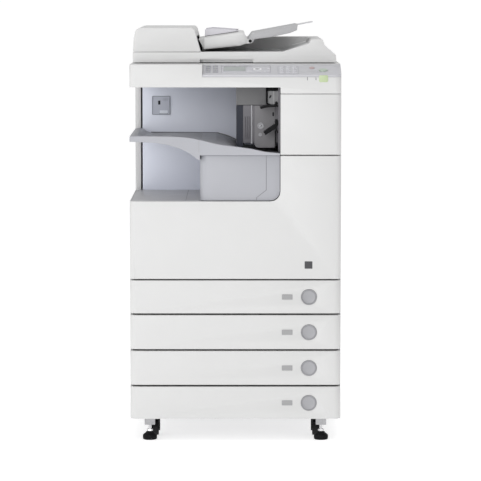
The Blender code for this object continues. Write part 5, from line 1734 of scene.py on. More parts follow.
    def electrics(self) -> None:
        """The power socket with its three pins, and the rocker switch in its frame."""
        self.moulded("power_inlet", BLACK, 0.0006)
        low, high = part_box("power_inlet")
        middle = (low + high) / 2
        pin = block((-0.0011, -0.0120, -0.0030), (0.0011, 0, 0.0030), 0.0004)
        pattern = Rows((middle.x - 0.0070, high.y - 0.0030, middle.z - 0.0020), (0.0140, 0, 0), 2)
        self.row("socket_side_pins", pattern, pin, BRIGHT)
        self.piece("socket_earth_pin",
            block((middle.x - 0.0011, high.y - 0.0150, middle.z + 0.0010),
            (middle.x + 0.0011, high.y - 0.0030, middle.z + 0.0070), 0.0004), BRIGHT)
        self.moulded("power_switch", BLACK, 0.0006, "power_switch")
        low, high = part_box("power_switch")
        y, z, x = (low.y + high.y) / 2, (low.z + high.z) / 2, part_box("right_cover")[1].x
        corners = oblong(y - 0.0105, z - 0.0155, y + 0.0105, z + 0.0155, 0.002)
        self.piece("switch_frame", frame_strip(corners, 0.0026, X, x - 0.0012, x), BLACK)
        bar = block((high.x - 0.0003, y - 0.0004, z + 0.0040), (high.x, y + 0.0004, z + 0.0085),
            0.0001)
        self.piece("switch_mark_on", bar, WHITE, "power_switch")
        circle = ring(oblong(0.0017, -0.0003, 0.0024, 0), (high.x, y, z - 0.0062), (1, 0, 0), 24)
        self.piece("switch_mark_off", circle, WHITE, "power_switch")


# Delivery recess --------------------------------------------------------------------------


@dataclass
class DeliveryRecess(Assembly):
    """The open recess: its floor and wall, the delivery tray on its block, and the exit unit.

    Attributes:
        floor_seam: Where the floor's seam runs, in x.
        block_seam: Path of the seam on the block under the tray, in x and z.
        tray_seam: Ends of the upright seam on the tray's front, in x and z.
        key_hole: Middle of the service plate's slot, right and down from its corner.
        plate_rise: How far the service plate stands out of the wall.
        tray_crest: Outline of the tray's front edge, in x and z from its lowest corner.
        tray_bed: Outline of the bed behind that edge.
        tray_under: Outline of its underside.
        tray_falls: How far its top has fallen from edge to bed, at depths from the front.
        tray_runs: Straight runs along the tray.
    """

    floor_seam: float = -0.133
    block_seam: Line = ((0.0825, 0.7690), (0.0825, 0.6770), (0.0566, 0.6570), (0.0566, 0.6500))
    tray_seam: Line = ((-0.0972, 0.8095), (-0.0972, 0.7790))
    key_hole: tuple[float, float] = (0.0204, 0.0188)
    plate_rise: float = 0.0020
    tray_crest: Line = ((0.0, 0.0614), (0.0030, 0.0630), (0.0372, 0.0630), (0.1007, 0.0624),
        (0.1454, 0.0603), (0.1818, 0.0545), (0.2323, 0.0425), (0.2560, 0.0385), (0.2692, 0.0370),
        (0.2855, 0.0350), (0.3246, 0.0294), (0.3581, 0.0222), (0.3808, 0.0196), (0.4016, 0.0175))
    tray_bed: Line = ((0.0, 0.0620), (0.0030, 0.0630), (0.0190, 0.0630), (0.0440, 0.0505),
        (0.1120, 0.0502), (0.2200, 0.0495), (0.2338, 0.0480), (0.2620, 0.0400), (0.3000, 0.0220),
        (0.3300, 0.0155), (0.4016, 0.0135))
    tray_under: Line = ((0.0, 0.0480), (0.0372, 0.0468), (0.0722, 0.0446), (0.1122, 0.0370),
        (0.1495, 0.0230), (0.1722, 0.0085), (0.1822, 0.0003))
    tray_falls: Line = ((0.0, -0.03), (0.0014, 0.0), (0.0120, 0.0), (0.0300, 0.35), (0.0750, 0.80),
        (0.1170, 1.0))
    tray_runs: int = 90

    def build(self) -> None:
        """Makes the recess's pieces."""
        self.walls()
        self.service_plate()
        self.tray()
        self.exit_unit()
        self.exit_frame()
        self.exit_roller()
        self.flag("upper", ((0.0008, 0.0030), (0.0190, 0.0070), (0.0425, 0.0090)), 0.0052)
        self.flag("lower", ((0.0040, 0.0058), (0.0345, 0.0255)), 0.0100)

    def flag(self, level: str, path: Line, width: float) -> None:
        """A stack sensor's lever: its arm, neck and the hub it hangs from.

        Args:
            level: Which lever, upper or lower.
            path: The arm's middle line, in x and z from its lowest corner.
            width: The arm's width.
        """
        node = f"paper_flag_{level}"
        low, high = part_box(node)
        line = [(low.x + x, low.z + z) for x, z in path]
        x, z = high.x - 0.004, high.z - 0.004
        near, far = low.y + 0.0008, high.y - 0.0190
        arm = merged(stripe(line, width, Y, near, far),
            stripe([line[-1], (x, z)], 0.0060, Y, near + 0.0004, far - 0.0004))
        hub = rod(0.0038, 0.0004, (x, low.y, z), high.y - low.y)
        self.piece(f"flag_{level}", merged(arm, hub), BLACK, node, node)

    def walls(self) -> None:
        """The recess's floor and back wall, with the floor's seam."""
        self.moulded("recess_floor", FLOOR_GREY, 0.0008)
        low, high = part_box("recess_back_panel")
        wall = block((low.x, low.y + self.plate_rise, low.z), (high.x, high.y, high.z), 0.0006)
        self.piece("recess_wall", wall, PANEL_BLUE, replaces="recess_back_panel")
        low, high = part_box("recess_floor")
        x = self.floor_seam
        line = block((x - 0.0006, low.y + 0.002, high.z - SINK),
            (x + 0.0006, high.y - 0.002, high.z + PROUD), 0.0001)
        self.piece("floor_seam", line, FAINT_SEAM)

    def service_plate(self) -> None:
        """The small service cover on the wall, with its frame, slot and finger tab, and a painted
        shadow under the tab.
        """
        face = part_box("recess_back_panel")[0].y + self.plate_rise
        low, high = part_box("recess_floor")
        left, bottom = low.x + 0.0438, high.z + 0.2115
        right, top = left + 0.0516, bottom + 0.0532
        corners = oblong(left, bottom, right, top, 0.003)
        self.piece("service_plate_frame",
            frame_strip(corners, 0.0026, Y, face - self.plate_rise, face + SINK), PANEL_SHADE)
        inner = oblong(left + 0.0036, bottom + 0.0036, right - 0.0036, top - 0.0036, 0.002)
        self.piece("service_plate_face", prism(inner, Y, face - 0.0012, face + SINK), PLATE_BLUE)
        right_of, down = self.key_hole
        x, z = left + right_of, top - down
        slot = oblong(x - 0.0032, z - 0.0056, x + 0.0032, z + 0.0056, 0.0012)
        self.piece("service_plate_slot", prism(slot, Y, face - 0.0014, face), HOLLOW_SHADOW)
        tab = oblong(left + 0.022, bottom + 0.0036, right - 0.0075, bottom + 0.0125, 0.0015)
        self.piece("service_plate_tab", prism(tab, Y, face - self.plate_rise, face + SINK),
            PANEL_LIGHT)
        # Painted shadow: a dark line just under the raised tab.
        under = stripe([(left + 0.021, bottom + 0.0030), (right - 0.0065, bottom + 0.0030)], 0.0012,
            Y, face - 0.0015, face)
        self.piece("service_plate_tab_line", under, PANEL_TAB_SHADOW)
        ridge = block((-0.0004, -0.0016, -0.0035), (0.0004, 0, 0.0035), 0.0001)
        self.row("service_plate_ridges",
            Rows((right - 0.0200, face, top - 0.0105), (0.0030, 0, 0), 5), ridge, PANEL_SHADE)

    def tray(self) -> None:
        """The delivery tray with its ribs, on its block, with their seams and a painted shadow line
        along the tray's back.
        """
        self.moulded("tray_support", TRAY_GREY, 0.0016)
        low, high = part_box("output_tray")
        front = low.y
        falls = [(front + depth, fall) for depth, fall in self.tray_falls] + [(high.y, 1.0)]
        sections = [[(x, y, z) for x, z in self.tray_outline(fall)] for y, fall in falls]
        self.piece("delivery_tray", skinned(sections), TRAY_GREY, "cabinet", "output_tray")
        # Painted shadow: a dark line along the tray's back edge, where it meets the wall.
        path = [(low.x + x, low.z + z + 0.0006) for x, z in curved(self.tray_bed[3:-2])]
        self.piece("tray_back_seal", stripe(path, 0.0030, Y, high.y - 0.0020, high.y - 0.0002),
            SHADE_SEAM)
        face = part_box("tray_support")[0].y
        self.piece("block_seam", stripe(self.block_seam, 0.0012, Y, face - PROUD, face + SINK),
            SHADE_SEAM)
        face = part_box("output_tray")[0].y
        self.piece("tray_seam", stripe(self.tray_seam, 0.0009, Y, face - PROUD, face + SINK),
            FAINT_SEAM)
        rib = block((0, -0.0010, -SINK), (0.140, 0.0010, 0.0009), 0.0004)
        start = (low.x + 0.0500, front + 0.1500, low.z + self.tray_bed[4][1])
        self.row("tray_ribs", Rows(start, (0, 0.0450, 0), 6), rib, TRAY_GREY)

    def tray_outline(self, fall: float) -> list[tuple[float, float]]:
        """The delivery tray's section.

        Args:
            fall: How far its top has fallen from the front edge's outline to the bed's.

        Returns:
            The section's corners, in x and z.
        """
        corner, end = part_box("output_tray")
        width = end.x - corner.x
        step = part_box("tray_support")[1].z + GAP_UP - corner.z
        crest, bed = curved(self.tray_crest), curved(self.tray_bed)
        top = []
        for k in range(self.tray_runs + 1):
            x = width * k / self.tray_runs
            edge = level_at(crest, x)
            lean = level_at(bed, x) - edge
            level = edge - 0.0008 if fall < 0 else edge + lean * fall
            top.append((x, max(level, step + 0.0008)))
        turn = self.tray_under[-1][0] + 0.0056
        whole = [*top, (width, step), (turn, step), (turn, 0.0003),
            *reversed(curved(self.tray_under))]
        return [(corner.x + x, corner.z + z) for x, z in whole]

    def exit_unit(self) -> None:
        """The front of the exit unit: its plates, ribs, bosses and slot, with painted shadow under
        the upper plate and along the gap at its left, and a painted highlight on the upright rib.
        """
        self.moulded("delivery_housing", EXIT_MID, 0.0008)
        low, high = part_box("delivery_housing")
        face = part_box("paper_flag_upper")[1].y + 0.0005
        left, right, top, bottom = low.x, high.x, high.z, low.z
        self.face = face
        upper = oblong(left + 0.0004, 0.8997, left + 0.0800, top - 0.0004)
        self.piece("exit_upper_plate", prism(upper, Y, face - 0.0030, face + SINK), DARK_GREY)
        # Painted shadow: a near-black line just under the upper plate's edge.
        self.piece("exit_upper_lip", stripe([(left + 0.0020, 0.8990), (left + 0.0790, 0.8990)],
                   0.0012, Y, face - 0.0022, face + SINK), HOLLOW_SHADOW)
        # Painted shadow: a near-black band on the housing's face for the deep gap at its left.
        band = oblong(left + 0.0006, bottom + 0.0010, left + 0.0185, 0.8984)
        self.piece("exit_dark_band", prism(band, Y, face - 0.0005, face + SINK), EXIT_GAP_SHADOW)
        # The rib's shape is real; its light grey, far lighter than the housing, is a painted
        # highlight along it.
        rib = turned(oblong(0, 0, 0.0022, 0.1080), (left + 0.0423, face, bottom + 0.0160),
            (0, 0, 1), 20)
        self.piece("exit_upright_rib", rib, EXIT_LIGHT_AND_HIGHLIGHT)
        plate = [(left + 0.0500, bottom + 0.0060, 0.010), (right - 0.0130, bottom + 0.0060, 0.003),
            (right - 0.0130, 0.8975, 0.003), (left + 0.0500, 0.8975, 0.003)]
        self.piece("exit_gear_cover", prism(plate, Y, face - 0.0018, face + SINK), EXIT_PLATE)
        self.boss("exit_boss", (left + 0.0661, face - 0.0018, 0.8430), 0.0086)
        self.boss("exit_boss_lower", (left + 0.0650, face - 0.0018, 0.8190), 0.0050)
        slot = oblong(0.0999, 0.8690, 0.1044, 0.8798, 0.0021)
        self.piece("exit_slot", prism(slot, Y, face - 0.0022, face), HOLLOW_SHADOW)
        ridge = block((-0.0008, -0.0026, 0), (0.0008, 0, 0.060), 0.0004)
        self.row("exit_fine_ribs", Rows((left + 0.0240, face, bottom + 0.030), (0.0060, 0, 0), 3),
            ridge, EXIT_MID)

    def boss(self, name: str, base: Point, radius: float) -> None:
        """A round boss with a raised rim and a domed middle.

        Args:
            name: The piece's name.
            base: Its middle, on the surface behind it.
            radius: Its radius.
        """
        profile = [(0, -SINK), (radius, -SINK), (radius, 0.0010), (radius * 0.86, 0.0016),
            (radius * 0.74, 0.0012), (radius * 0.64, 0.0004), (radius * 0.42, 0.0004),
            (radius * 0.30, 0.0016), (radius * 0.14, 0.0024), (0, 0.0025)]
        self.piece(name, turned(profile, base, (0, -1, 0), 40), EXIT_LIGHT_AND_HIGHLIGHT)

    def exit_frame(self) -> None:
        """The light motor cover in its black frame, the lower flag's bracket and a wire."""
        face, corner = self.face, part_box("delivery_housing")[1]
        right, top = corner.x, corner.z
        cover = [(0.0872, 0.9055, 0.002), (0.1000, 0.9000, 0.002), (right - 0.0020, 0.8990),
            (right - 0.0020, 0.9375), (0.0872, 0.9375)]
        self.piece("motor_cover", prism(cover, Y, face - 0.0120, face + SINK), EXIT_BLOCK)
        hole = turned(oblong(0, 0, 0.0024, 0.0005), (0, 0, 0), (0, -1, 0), 24)
        bmesh.ops.scale(hole, vec=(1, 1, 2.1), verts=hole.verts)
        hole = tilted(hole, math.radians(28), Y)
        bmesh.ops.translate(hole, vec=(0.0942, face - 0.0120, 0.9221), verts=hole.verts)
        self.piece("motor_cover_hole", hole, HOLLOW_SHADOW)
        # The rib's shape is real; its bright grey is a painted highlight across the motor cover.
        rib = prism([(0.1015, 0.9005, 0.001), (0.1052, 0.9000, 0.001), (0.1052, 0.9370, 0.001),
            (0.1015, 0.9370, 0.001)], Y, face - 0.0130, face - 0.0110)
        self.piece("motor_cover_rib", rib, EXIT_RIB_HIGHLIGHT)
        bar = prism(oblong(0.0830, 0.9378, right - 0.0020, top - 0.0004), Y, face - 0.0170,
            face + SINK)
        upright = prism(oblong(0.0828, 0.9030, 0.0868, top - 0.0004), Y, face - 0.0170, face + SINK)
        sill = stripe([(0.0845, 0.9055), (0.0880, 0.9010), (0.0990, 0.8985), (0.1160, 0.8970)],
            0.0036, Y, face - 0.0150, face + SINK)
        self.piece("motor_cover_frame", merged(bar, upright, sill), BLACK)
        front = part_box("paper_flag_lower")[0].y - 0.0040
        arm = stripe([(0.1148, 0.8590), (0.1128, 0.8500), (0.1085, 0.8445), (0.1100, 0.8360),
            (0.1140, 0.8270)], 0.0034, Y, front, front + 0.0032)
        self.piece("flag_bracket", arm, BLACK)
        wire = stripe([(0.1080, 0.8300), (0.1080, 0.7820)], 0.0026, Y, face - 0.0040, face + SINK)
        self.piece("exit_wire", wire, BLACK)

    def exit_roller(self) -> None:
        """The exit roller: a bright shaft with rubber sleeves."""
        low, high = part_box("exit_roller")
        x, z = (low.x + high.x) / 2, (low.z + high.z) / 2
        shaft = rod(0.0039, 0.0005, (x, low.y, z), high.y - low.y)
        self.piece("exit_shaft", shaft, BRIGHT, "exit_roller", "exit_roller")
        sleeve = ring([(0.0036, 0), (0.0080, 0), (0.0089, 0.0008), (0.0089, 0.0222),
            (0.0080, 0.0230), (0.0036, 0.0230)], (0, 0, 0), (0, 1, 0), 32)
        self.row("exit_sleeves", Rows((x, low.y + 0.0150, z), (0, 0.0475, 0), 6), sleeve, ROLLER,
            "exit_roller")


# Scanner and control panel ----------------------------------------------------------------


@dataclass
class Scanner(Assembly):
    """The flatbed scanner under the lid: casing, glass, size marks and lamp carriage.

    Attributes:
        mark_pitch: From one size mark to the next.
    """

    mark_pitch: float = 0.0180

    def build(self) -> None:
        """Makes the scanner's pieces."""
        self.moulded("scanner_housing", WHITE, 0.0012)
        self.moulded("platen_glass", GLASS, 0.0005)
        self.marks()
        self.carriage()

    def marks(self) -> None:
        """Size marks beside the glass, and its corner arrow."""
        low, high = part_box("platen_glass")
        tick = block((-0.0070, -0.0003, -SINK), (0, 0.0003, PROUD), 0.0001)
        self.row("size_marks_left",
            Rows((low.x - 0.0015, low.y + 0.010, high.z), (0, self.mark_pitch, 0), 19), tick,
            PRINT_DARK)
        tick = block((-0.0003, 0, -SINK), (0.0003, 0.0070, PROUD), 0.0001)
        self.row("size_marks_back",
            Rows((low.x + 0.010, high.y + 0.0015, high.z), (self.mark_pitch, 0, 0), 24), tick,
            PRINT_DARK)
        arrow = prism([(low.x - 0.0040, high.y + 0.0020), (low.x - 0.0110, high.y + 0.0020),
            (low.x - 0.0040, high.y + 0.0090)], Z, high.z - SINK, high.z + PROUD)
        self.piece("corner_arrow", arrow, PRINT_DARK)

    def carriage(self) -> None:
        """The lamp carriage with its lamp, mirror slit and reflector."""
        self.moulded("scan_carriage", BLACK, 0.0007, "scan_carriage")
        low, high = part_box("scan_carriage")
        middle = (low.x + high.x) / 2
        length = high.y - low.y
        lamp = turned([(0, 0), (0.0021, 0), (0.0026, 0.0006), (0.0026, length - 0.0466),
            (0.0021, length - 0.0460), (0, length - 0.0460)],
            (middle - 0.0060, low.y + 0.023, high.z + 0.0012), (0, 1, 0), 20)
        self.piece("scan_lamp", lamp, LAMP_WHITE, "scan_carriage")
        mirror = block((middle + 0.0020, low.y + 0.022, high.z - SINK),
            (middle + 0.0070, high.y - 0.022, high.z + 0.0004), 0.0001)
        self.piece("mirror_slit", mirror, SMOKED, "scan_carriage")
        shade = prism([(middle - 0.0125, high.z - SINK), (middle - 0.0100, high.z - SINK),
            (middle - 0.0096, high.z + 0.0042), (middle - 0.0104, high.z + 0.0046)], Y,
            low.y + 0.018, high.y - 0.018)
        self.piece("lamp_reflector", shade, BRIGHT, "scan_carriage")


@dataclass
class ControlPanel(Assembly):
    """The sloping operator panel with its display, keys, slits and lamp.

    Attributes:
        key_pitch: Across and up the slope, from one number key to the next.
        pad_corner: The number pad's first key, in x and up the slope.
        lamp: Left, right, bottom and top of the ready lamp, in x and z.
        slits: Middle and half height of each slit, in x, z and height.
    """

    key_pitch: tuple[float, float] = (0.0170, 0.0165)
    pad_corner: tuple[float, float] = (0.1240, 0.0190)
    lamp: tuple[float, float, float, float] = (0.2225, 0.2465, 0.9650, 0.9835)
    slits: tuple[Point, ...] = ((0.1916, 0.9745, 0.0045), (0.2142, 0.9740, 0.0034))

    def build(self) -> None:
        """Makes the panel's pieces."""
        self.moulded("control_panel", PANEL_GREY, 0.0009)
        low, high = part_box("control_panel")
        self.front, self.lip = low.y, low.z + 0.005
        run = Vector((high.y - low.y, high.z - self.lip))
        self.length, self.slope = run.length, math.atan2(run.y, run.x)
        self.display()
        self.number_pad()
        self.function_keys()
        self.main_keys()
        self.front_marks()

    def spot(self, x: float, up: float, height: float = 0.0) -> Vector:
        """A place on the panel's slope.

        Args:
            x: Its x.
            up: How far up the slope.
            height: How far off it.

        Returns:
            The place.
        """
        c, s = math.cos(self.slope), math.sin(self.slope)
        return Vector((x, self.front + c * up - s * height, self.lip + s * up + c * height))

    def laid(self, shape: Shape, x: float, up: float, height: float = 0.0) -> Shape:
        """Lays a flat shape on the slope.

        Args:
            shape: The shape, made round the origin and facing up.
            x: Its origin's x.
            up: How far up the slope.
            height: How far off it.

        Returns:
            The same shape, in place.
        """
        tilted(shape, self.slope, X)
        bmesh.ops.translate(shape, vec=self.spot(x, up, height), verts=shape.verts)
        return shape

    def display(self) -> None:
        """The display's light cover, its window, its soft keys and the oval mark."""
        self.moulded("display_screen", BEZEL, 0.0005)
        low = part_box("display_screen")[0]
        bottom, proud = 0.0220, 0.0010
        window = prism(oblong(0, 0, 0.058, 0.040, 0.002), Z, -SINK, PROUD)
        self.piece("display_window", self.laid(window, low.x + 0.0060, bottom + 0.010, proud),
            DISPLAY)
        rim = frame_strip(oblong(-0.0012, -0.0012, 0.0592, 0.0412, 0.003), 0.0012, Z, -SINK,
            2 * PROUD)
        self.piece("display_window_rim", self.laid(rim, low.x + 0.0060, bottom + 0.010, proud),
            KEY_GREY)
        key = tilted(prism(oblong(-0.0065, -0.0022, 0.0065, 0.0022, 0.0012), Z, -SINK, 0.0010),
            self.slope, X)
        start = self.spot(low.x + 0.0760, bottom + 0.012, proud)
        step = self.spot(0, 0.0105) - self.spot(0, 0)
        self.row("soft_keys", Rows(tuple(start), tuple(step), 4), key, KEY_WHITE)
        halo = self.oval(0.0115, 0.0090, -SINK, PROUD)
        self.piece("oval_rim", self.laid(halo, 0.0590, 0.0500, proud), KEY_BRIGHT)
        core = self.oval(0.0062, 0.0042, -SINK, 2 * PROUD)
        self.piece("oval_window", self.laid(core, 0.0590, 0.0500, proud), SMOKED)

    def oval(self, half_x: float, half_y: float, low: float, high: float) -> Shape:
        """A flat oval round the origin.

        Args:
            half_x: Half its length.
            half_y: Half its width.
            low: Where it starts, in z.
            high: Where it ends.

        Returns:
            The closed solid.
        """
        points = [(half_x * math.cos(math.pi * k / 20), half_y * math.sin(math.pi * k / 20))
            for k in range(40)]
        return prism(points, Z, low, high)

    def number_pad(self) -> None:
        """Twelve number keys with their figures, in their shallow well."""
        x, up = self.pad_corner
        across, along = self.key_pitch
        well = oblong(x - 0.011, up - 0.010, x + 2 * across + 0.011, up + 3 * along + 0.010, 0.004)
        self.piece("number_pad_rim", self.laid(frame_strip(well, 0.0010, Z, -SINK, PROUD), 0, 0),
            KEY_GREY)
        profile = [(0, -SINK), (0.0060, -SINK), (0.0060, 0.0012), (0.0055, 0.0017),
            (0.0035, 0.0019), (0, 0.0017)]
        key = tilted(turned(profile, (0, 0, 0), (0, 0, 1), 24), self.slope, X)
        step = self.spot(0, along) - self.spot(0, 0)
        pattern = Rows(tuple(self.spot(x, up)), (across, 0, 0), 3, tuple(step), 4)
        self.row("number_keys", pattern, key, KEY_WHITE)
        shapes = []
        for row, figures in enumerate(("*0#", "789", "456", "123")):
            for column, figure in enumerate(figures):
                text = figure_shape(figure, 0.0058, 0.0001)
                shapes.append(self.laid(text, x + column * across, up + row * along, 0.0017))
        self.piece("number_key_figures", merged(*shapes), PRINT_DARK)

    def function_keys(self) -> None:
        """Two columns of oblong function keys at the panel's left, each with its small lamp."""
        key = tilted(prism(oblong(-0.0068, -0.0030, 0.0068, 0.0030, 0.0014), Z, -SINK, 0.0013),
            self.slope, X)
        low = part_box("control_panel")[0]
        step = self.spot(0, 0.0175) - self.spot(0, 0)
        pattern = Rows(tuple(self.spot(low.x + 0.0150, 0.0260)), (0.0195, 0, 0), 2, tuple(step), 4)
        self.row("function_keys", pattern, key, KEY_GREY)
        lens = tilted(block((-0.0011, -0.0011, -SINK), (0.0011, 0.0011, 0.0008), 0.0003),
            self.slope, X)
        pattern = Rows(tuple(self.spot(low.x + 0.0150, 0.0332)), (0.0195, 0, 0), 2, tuple(step), 4)
        self.row("function_lamps", pattern, lens, READY)

    def main_keys(self) -> None:
        """The green start key and the red stop key, each domed in its dark ring."""
        for name, finish in (("start_key", START), ("stop_key", STOP)):
            low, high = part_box(name)
            middle, radius = (low + high) / 2, (high.x - low.x) / 2
            normal = (0, -math.sin(self.slope), math.cos(self.slope))
            base = middle - Vector(normal) * 0.0030
            profile = [(0, 0), (radius - 0.0003, 0), (radius - 0.0001, 0.0004),
                (radius - 0.0001, 0.0050), (radius - 0.0006, 0.0058), (radius - 0.0020, 0.0060),
                (radius * 0.5, 0.0056), (0, 0.0053)]
            self.piece(f"{name}_cap", turned(profile, tuple(base), normal, 48), finish, name, name)
            loop = [(radius + 0.0007, -SINK), (radius + 0.0022, -SINK), (radius + 0.0022, PROUD),
                (radius + 0.0007, 2 * PROUD)]
            seat = middle - Vector(normal) * 0.0005
            self.piece(f"{name}_ring", ring(loop, tuple(seat), normal, 48), KEY_GREY)

    def front_marks(self) -> None:
        """The two small slits and the ready lamp on the front edge."""
        for number, (x, z, half) in enumerate(self.slits, 1):
            slit = [(x - 0.0009, z - half, 0.0004), (x + 0.0011, z - half, 0.0004),
                (x + 0.0005, z + half, 0.0003), (x - 0.0009, z + half, 0.0003)]
            self.piece(f"panel_slit_{number}",
                prism(slit, Y, self.front - PROUD, self.front + SINK), SHADE_SEAM)
        left, right, bottom, top = self.lamp
        lens = prism([(left, bottom, 0.004), (right, bottom, 0.004), (right, top, 0.0035),
            (left, top, 0.0035)], Y, self.front - 2 * PROUD, self.front + SINK)
        self.piece("ready_lamp", softened(lens, 0.0003, "ready_lamp"), READY)


# Document feeder --------------------------------------------------------------------------


@dataclass
class Feeder(Assembly):
    """The lid with its document feeder.

    Attributes:
        nose: How far the rounded front of the tray's block stands out.
        nose_steps: Runs along it and round it.
    """

    nose: float = 0.0150
    nose_steps: tuple[int, int] = (24, 12)

    def build(self) -> None:
        """Makes the feeder's pieces."""
        self.moulded("feeder_base", WHITE, 0.0012, "feeder")
        self.moulded("feeder_cover", WHITE, 0.0016, "feeder_cover")
        self.moulded("lid_pad", PAD, 0.0015, "feeder")
        self.moulded("document_tray", TRAY_FACE, 0.0010, "document_tray")
        self.moulded("tray_extension", LIGHT_GREY, 0.0006, "tray_extension")
        for side in ("front", "back"):
            self.guide(f"document_guide_{side}")
        self.liners()
        self.block_nose()
        self.small_parts()

    def guide(self, node: str) -> None:
        """A document guide: a wedge of a fence, with a black line of painted shadow along its foot.

        Args:
            node: The guide's node.
        """
        low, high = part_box(node)
        left, right, top = low.x - 0.0095, high.x + 0.0140, high.z
        fence = [(left, low.z + 0.0020), (right, low.z + 0.0158), (right, low.z + 0.0176),
            (left + 0.0200, top), (left, top - 0.0030)]
        self.piece(f"{node}_fence", prism(fence, Y, low.y, high.y), GUIDE_GREY, node, node)
        # Painted shadow: a black line where the fence meets the tray.
        fence_shadow = stripe([(left, low.z + 0.0016), (right, low.z + 0.0154)], 0.0014, Y, low.y - PROUD,
            high.y + PROUD)
        self.piece(f"{node}_shoe", fence_shadow, BLACK, node)

    def liners(self) -> None:
        """Sheets of painted light on the well's floor, its slope and back, and in the grip recess:
        white made lighter than the body's, so that these shaded hollows read lighter.
        """
        low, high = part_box("feeder_base")
        front, right = low.y + 0.0006, high.x
        left, floor = low.x + 0.1921, low.z + 0.0280
        back = low.y + 0.4300
        turn, crest, lip = right - 0.1464, right - 0.0744, right - 0.0624
        # Painted light: these sheets are lighter than the body's white, to lift the shade in the
        # well and the grip.
        flat = block((left, front, floor - SINK), (turn, back, floor + PROUD), 0.0001)
        self.piece("well_floor_liner", flat, WELL_PAINTED_LIGHT, "feeder")
        slope = [(turn, floor - SINK), (crest, floor + 0.0220 - SINK),
            (crest, floor + 0.0220 + PROUD), (turn, floor + PROUD)]
        self.piece("well_slope_liner", prism(slope, Y, front, back), WELL_SLOPE_PAINTED_LIGHT, "feeder")
        wall = prism([(left, floor), (turn, floor), (crest, floor + 0.0220), (lip, floor + 0.0335),
            (left, floor + 0.0335)], Y, back - PROUD, back + SINK)
        self.piece("well_back_liner", wall, WELL_SLOPE_PAINTED_LIGHT, "feeder")
        x, z = left - 0.0106, low.z
        grip = oblong(x + 0.0004, z + 0.0004, x + 0.1426, z + 0.0088)
        self.piece("grip_back_liner", prism(grip, Y, low.y + 0.0216, low.y + 0.0222), GRIP_PAINTED_LIGHT,
            "feeder")
        roof = block((x + 0.0004, low.y + 0.0004, z + 0.0087),
            (x + 0.1426, low.y + 0.0218, z + 0.0093), 0.0001)
        self.piece("grip_roof_liner", roof, GRIP_PAINTED_LIGHT, "feeder")

    def block_nose(self) -> None:
        """The rounded front of the block that carries the document tray."""
        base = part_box("feeder_base")[0]
        left, floor, front = base.x + 0.1921, base.z + 0.0280, base.y + 0.0500
        top = [(left, 0.0385), (left + 0.0935, 0.0525), (left + 0.1070, 0.0515),
            (left + 0.1180, 0.0380)]
        under = [(left, 0.0060), (left + 0.0990, 0.0165), (left + 0.1180, 0.0240)]
        along, round_steps = self.nose_steps
        loops = []
        for i in range(along + 1):
            x = left + 0.0006 + 0.1166 * i / along
            high, low = level_at(top, x), level_at(under, x)
            reach = self.nose * math.sqrt(max(0.02, 1 - (i / along) ** 6))
            loop = [(x, front + 0.0008, floor + high)]
            for k in range(round_steps + 1):
                angle = math.pi * k / round_steps
                depth = reach * math.sin(angle) ** 0.8
                height = (high + low) / 2 + (high - low) / 2 * math.cos(angle)
                loop.append((x, front - depth, floor + height))
            loops.append([*loop, (x, front + 0.0008, floor + low)])
        self.piece("tray_block_nose", skinned(loops), WHITE, "feeder")

    def small_parts(self) -> None:
        """The tray's pivot cap and the feeder cover's finger ribs."""
        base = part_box("feeder_base")[0]
        x, y, z = base.x + 0.3170, base.y + 0.0500, base.z + 0.0570
        cap = turned([(0, -SINK), (0.0046, -SINK), (0.0046, 0.0008), (0.0038, 0.0014),
            (0.0020, 0.0012), (0, 0.0008)], (x, y, z), (0, -1, 0), 32)
        self.piece("tray_pivot_cap", cap, BLACK, "feeder")
        low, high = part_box("feeder_cover")
        middle = (low.y + high.y) / 2
        self.row("cover_finger_ribs",
            Rows((high.x - 0.0480, middle - 0.020, high.z - 0.0004), (0.0040, 0, 0), 6),
            block((-0.0008, 0, -SINK), (0.0008, 0.040, PROUD), 0.0001), WHITE, "feeder_cover")


def level_at(path: Line, x: float) -> float:
    """Height of a broken line.

    Args:
        path: The line's points (x, height), from left to right.
        x: Where its height is wanted.

    Returns:
        The height.
    """
    for (x0, z0), (x1, z1) in zip(path, path[1:]):
        if x <= x1:
            return z0 + (z1 - z0) * (x - x0) / (x1 - x0)
    return path[-1][1]


# Engine -----------------------------------------------------------------------------------


